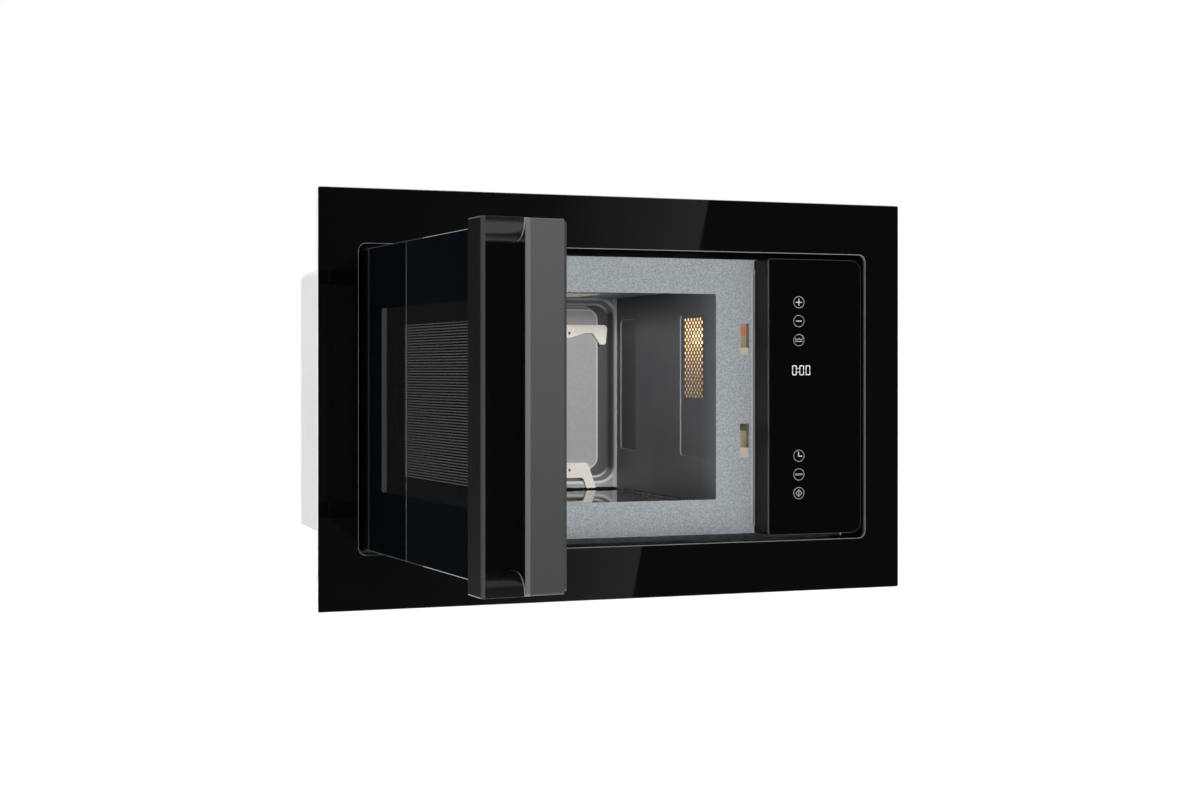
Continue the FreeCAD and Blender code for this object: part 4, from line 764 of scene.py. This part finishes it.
reflected_lines_mask = patch(door_tree, door_axes, X=(*lines_x, 0.0005), Z=(*punched_z, 0.0005))
line_phase = door_tree.nodes.new("ShaderNodeMath")
line_phase.operation = "MULTIPLY"
line_phase.inputs[1].default_value = 2 * math.pi / line_pitch
line_wave = door_tree.nodes.new("ShaderNodeMath")
line_wave.operation = "SINE"
line_level = new_node(door_tree, "ShaderNodeMapRange", {"From Min": -0.2, "From Max": 0.8})
wire(
    door_tree,
    (door_axes.outputs["Z"], line_phase.inputs[0]),
    (line_phase.outputs[0], line_wave.inputs[0]),
    (line_wave.outputs[0], line_level.inputs["Value"]))
reflected_line_colour = tinted(door_tree, line_level.outputs["Result"], (0.003, 0.003, 0.003), (0.064, 0.064, 0.065))
print_colour = print_black
for mask, over in (
    (painted_bluish_reflection, (0.001, 0.0019, 0.0028)), (window_mask, (0.0045, 0.0046, 0.005)),
    (reveal_mask, (0.037, 0.037, 0.038)), (reflected_lines_mask, reflected_line_colour),
):
    print_colour = tinted(door_tree, mask, print_colour, over)
door_tree.links.new(print_colour, door_pane.inputs["Print"])
dress(door_glass, "door_glass")

# The moulded ring, painted paler towards its upper half as painted light, with the inner face, the choke and the
# hooks.
door_moulding = grained(
    "door_grey_moulding", (0.03, 0.0303, 0.031), (0.036, 0.0363, 0.037), (0.34, 0.44), 900, 0.18)
set_shader(door_moulding, "Specular IOR Level", 0.25)
moulding_tree = door_moulding.node_tree
upper_half_light = patch(moulding_tree, shut_axes(moulding_tree), Z=(0.0, far, 0.14))
tint(door_moulding, (upper_half_light, (0.064, 0.065, 0.067)))
coat(rounded_copy("door_frame", "door_frame_moulding", 0.0005, 2), door_moulding)
inner_moulding = grained("door_inner_moulding", (0.02, 0.02, 0.021), (0.03, 0.03, 0.031), (0.35, 0.5), 900, 0.2)
dress(inner_moulding, "choke_cover")
choke_paint = grained("choke_black_paint", (0.02, 0.02, 0.02), (0.03, 0.03, 0.03), (0.4, 0.55), 900, 0.2)
dress(choke_paint, "door_choke")
# The hooks' cream is painted darker than the rests', a painted shade that offsets the full front light on them.
hook_cream = grained("hook_cream_moulding", (0.4, 0.38, 0.345), (0.46, 0.436, 0.395), (0.35, 0.5), 900, 0.15)
dress(hook_cream, "latch_hooks")

# The screen's holes, about 1.6 mm wide in square rows, show as black dots in its dark paint.
screen_paint = grained("screen_punched_paint", (0.03, 0.03, 0.03), (0.04, 0.04, 0.04), (0.4, 0.5), 900, 0.1)
screen_tree = screen_paint.node_tree
screen_axes = shut_axes(screen_tree)
hole_pitch = 0.0031
screen_flat = screen_tree.nodes.new("ShaderNodeCombineXYZ")
screen_dots = new_node(screen_tree, "ShaderNodeTexVoronoi", {"Scale": 1 / hole_pitch, "Randomness": 0.0})
screen_hole = new_node(screen_tree, "ShaderNodeMapRange", {"From Min": 0.28, "From Max": 0.24})
wire(
    screen_tree,
    (screen_axes.outputs["X"], screen_flat.inputs["X"]),
    (screen_axes.outputs["Z"], screen_flat.inputs["Y"]),
    (screen_flat.outputs["Vector"], screen_dots.inputs["Vector"]),
    (screen_dots.outputs["Distance"], screen_hole.inputs["Value"]))
screen_field = patch(screen_tree, screen_axes, X=(*punched_x, 0.0003), Z=(*punched_z, 0.0003))
screen_holes = times(screen_tree, screen_hole.outputs["Result"], screen_field)
tint(screen_paint, (screen_holes, (0.001, 0.001, 0.001)))
dress(screen_paint, "door_screen")

# The clear inner pane, a little uneven in its gloss as if wiped by hand.
clear_pane, pane_tree, pane_shader = new_finish("inner_clear_pane")
set_shader(clear_pane, "Base Color", (0.9, 0.9, 0.9, 1.0))
set_shader(clear_pane, "Transmission Weight", 1.0)
set_shader(clear_pane, "IOR", 1.45)
pane_gloss = new_node(pane_tree, "ShaderNodeMapRange", {"To Min": 0.02, "To Max": 0.08})
wire(
    pane_tree,
    (speckle(pane_tree, 25.0), pane_gloss.inputs["Value"]),
    (pane_gloss.outputs["Result"], pane_shader.inputs["Roughness"]))
dress(clear_pane, "inner_window")


# Handle. A flat bar in dark brushed aluminium with chamfered edges, held off the glass by two
# satin black end pieces that are screwed through the glass from inside the door.
handle_metal = two_tone(
    "handle_dark_brushed", door_face, (0.007, 0.007, 0.0072), (0.035, 0.034, 0.033), (0.34, 0.42))[0]
set_shader(handle_metal, "Specular IOR Level", 0.3)
coat(rounded_copy("handle_plate", "handle_brushed_bar", 0.0003, 2, 25.0), handle_metal)
cap_black = grained("handle_satin_black", (0.003, 0.003, 0.0032), (0.005, 0.005, 0.0052), (0.22, 0.3), 1000, 0.06)
set_shader(cap_black, "Specular IOR Level", 0.3)
cap_tree = cap_black.node_tree
# A thin pale band at the foot of the end pieces, where they meet the glass, is a painted highlight.
cap_foot_highlight = patch(cap_tree, shut_axes(cap_tree), Y=(-0.0057, -0.004, 0.0001))
tint(cap_black, (cap_foot_highlight, (0.22, 0.22, 0.22)))
coat(rounded_copy("handle_caps", "handle_end_pieces", 0.0006, 3), cap_black)


# Control panel. Black glass level with the trim, bonded to a dark moulded box; touch symbols are
# screen-printed on the glass in white and the lit digits shine through it.
panel_print = two_tone("panel_black_glass", toward_room, print_black, (0.06, 0.065, 0.065), glass_gloss)[0]
set_shader(panel_print, "Specular IOR Level", 0.3)
dress(panel_print, "control_glass")
housing_black = grained(
    "housing_dark_moulding", (0.012, 0.012, 0.012), (0.017, 0.017, 0.017), (0.45, 0.55), 1100, 0.3)
set_shader(housing_black, "Specular IOR Level", 0.12)
housing_tree = housing_black.node_tree
# Towards the front plate the box's side is painted near black, a painted shade.
shade_beside_plate = patch(housing_tree, axes_of(housing_tree), Y=(0.0225, far, 0.0004))
tint(housing_black, (shade_beside_plate, (0.002, 0.002, 0.002)))
dress(housing_black, "control_housing")
panel_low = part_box("control_glass")[0]
panel_left, glass_front = panel_low.x, panel_low.y
ink = 0.00008
ring_w = 0.0003


def printed_ring(x, z, radius):
    """Thin flat ring of ink on the panel."""
    bpy.ops.object.select_all(action="DESELECT")
    bpy.ops.mesh.primitive_torus_add(
        location=(x, glass_front, z), rotation=(half_pi, 0, 0), major_radius=radius, minor_radius=ring_w / 2,
        major_segments=40, minor_segments=6)
    bpy.ops.object.mode_set(mode="EDIT")
    bpy.ops.mesh.select_all(action="SELECT")
    bpy.ops.transform.resize(value=(1.0, 2 * ink / ring_w, 1.0), center_override=(x, glass_front, z))
    bpy.ops.object.mode_set(mode="OBJECT")
    bpy.ops.object.transform_apply(location=True, rotation=True, scale=True)
    return bpy.context.object


def printed_bar(x, z, width, height, turn=0.0, round_share=0.45):
    """Flat bar of ink with rounded ends, turned about the line of sight."""
    bpy.ops.object.select_all(action="DESELECT")
    bpy.ops.mesh.primitive_cube_add(size=1.0, location=(x, glass_front, z), rotation=(0, turn, 0))
    bar = bpy.context.object
    bar.scale = (width, 2 * ink, height)
    bpy.ops.object.transform_apply(location=True, rotation=True, scale=True)
    bpy.ops.object.mode_set(mode="EDIT")
    bpy.ops.mesh.select_mode(type="EDGE")
    bpy.ops.object.mode_set(mode="OBJECT")
    for edge in bar.data.edges:
        along = bar.data.vertices[edge.vertices[1]].co - bar.data.vertices[edge.vertices[0]].co
        edge.select = abs(along.y) > 0.9 * along.length
    bpy.ops.object.mode_set(mode="EDIT")
    bpy.ops.mesh.bevel(offset=min(width, height) * round_share, segments=3, affect="EDGES", clamp_overlap=True)
    bpy.ops.object.mode_set(mode="OBJECT")
    return bar


def joined(pieces, name, material):
    """One piece of the panel from its strokes."""
    bpy.ops.object.select_all(action="DESELECT")
    for piece in pieces:
        piece.select_set(True)
    bpy.context.view_layer.objects.active = pieces[0]
    bpy.ops.object.join()
    whole = bpy.context.object
    whole.name = name
    coat(whole, material)
    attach(whole, "oven")


# Symbols in their rings, from the top: plus, minus, a zigzag over a bar, a clock's hands, four dots
# and a diamond with a stroke in it. A stroke is its place from the ring's middle, its size and its turn.
ink_white = grained("symbol_white_ink", (0.56, 0.57, 0.58), (0.64, 0.65, 0.66), (0.45, 0.55), 1500, 0.05)
symbol_x = panel_left + 0.0331
symbol_r = 0.0057
stroke_w = 0.0008
thin_w = 0.0005
plus_w = 0.0068
wave_pitch = 0.0022
wave_lean = 0.5
dot_pitch = 0.002
dot_r = 0.0008
diamond = 0.0034
diamond_side = diamond * 1.45
diamond_w = 0.0004
more, less, grill_key, clock, program, start = 0.0945, 0.0757, 0.0567, -0.0589, -0.0775, -0.0962
strokes = [(more, 0, 0, plus_w, stroke_w, 0), (more, 0, 0, stroke_w, plus_w, 0), (less, 0, 0, 0.006, stroke_w, 0)]
for index in range(4):
    lean = wave_lean if index % 2 else -wave_lean
    strokes.append((grill_key, wave_pitch * (index - 1.5), 0.0009, thin_w, 0.0024, lean))
strokes.append((grill_key, 0, -0.0014, 0.0082, thin_w, 0))
strokes.append((clock, -0.0004, 0.0018, stroke_w, 0.0048, 0))
strokes.append((clock, 0.0013, -0.0004, 0.0042, stroke_w, 0))
for side in (-1, 1):
    for end in (-1, 1):
        turn = side * end * math.radians(45)
        strokes.append((start, side * diamond / 2, end * diamond / 2, diamond_side, diamond_w, turn))
strokes.append((start, 0, 0, thin_w, 0.0036, 0))
symbols = [printed_ring(symbol_x, z, symbol_r) for z in (more, less, grill_key, clock, program, start)]
symbols += [printed_ring(symbol_x + dot_pitch * (index - 1.5), program, dot_r) for index in range(4)]
symbols += [printed_bar(symbol_x + x, middle + z, *stroke) for middle, x, z, *stroke in strokes]
joined(symbols, "panel_symbols", ink_white)

# Digits: three noughts and a colon, each nought made of six short bars.
digit_glow = glowing(
    "digit_white_light", (0.5, 0.5, 0.5), 0.4, 0.4, 500.0, (0.75, 0.77, 0.8), (1.0, 0.99, 0.97))
display_x = panel_left + 0.0354
display_z = 0.0265
digit_w = 0.0049
digit_h = 0.0098
lit_w = 0.0008
level_bar = digit_w - 1.6 * lit_w
upright_bar = digit_h / 2 - 0.9 * lit_w
colon_x = display_x - 0.0033
colon_rise = 0.0018
colon_w = 0.001
lit = []
for middle in (-0.0072, 0.0008, 0.0077):
    for end in (-1, 1):
        digit_x = display_x + middle
        lit.append(printed_bar(digit_x, display_z + end * (digit_h - lit_w) / 2, level_bar, lit_w))
        for side in (-1, 1):
            upright_x = digit_x + side * (digit_w - lit_w) / 2
            lit.append(printed_bar(upright_x, display_z + end * digit_h / 4, lit_w, upright_bar))
for end in (-1, 1):
    lit.append(printed_bar(colon_x, display_z + end * colon_rise, colon_w, colon_w))
joined(lit, "display_digits", digit_glow)

# The boards and the display's case behind the glass.
board_green = grained("circuit_board_green", (0.012, 0.07, 0.03), (0.03, 0.12, 0.055), (0.3, 0.5), 260, 0.2)
dress(board_green, "touch_board", "power_board", "filter_board")
display_case = grained("display_black_case", (0.008, 0.008, 0.008), (0.014, 0.014, 0.014), (0.25, 0.4), 800, 0.1)
dress(display_case, "display_module")


# Works. The transformer's laminated core and copper windings stand on the base plate behind the panel,
# the moulded fan's motor stands on posts from the rear sheet, and the antenna's sits under the cavity.
along_depth = (0.05, 1.0, 0.05)
along_height = (0.05, 0.05, 1.0)
core_iron = grained(
    "laminated_iron", (0.06, 0.06, 0.062), (0.14, 0.14, 0.145), (0.4, 0.6), 900, 0.4, 0.6, along_depth)
dress(core_iron, "transformer_core", "fan_motor")
copper = grained(
    "enamelled_copper", (0.4, 0.15, 0.06), (0.62, 0.28, 0.13), (0.25, 0.4), 700, 0.5, 0.8, along_height)
dress(copper, "transformer_windings")
motor_grey = grained("motor_grey_case", (0.4, 0.4, 0.39), (0.5, 0.5, 0.48), (0.4, 0.55), 500, 0.15)
dress(motor_grey, "antenna_motor", "fan_shroud", "fan_impeller")
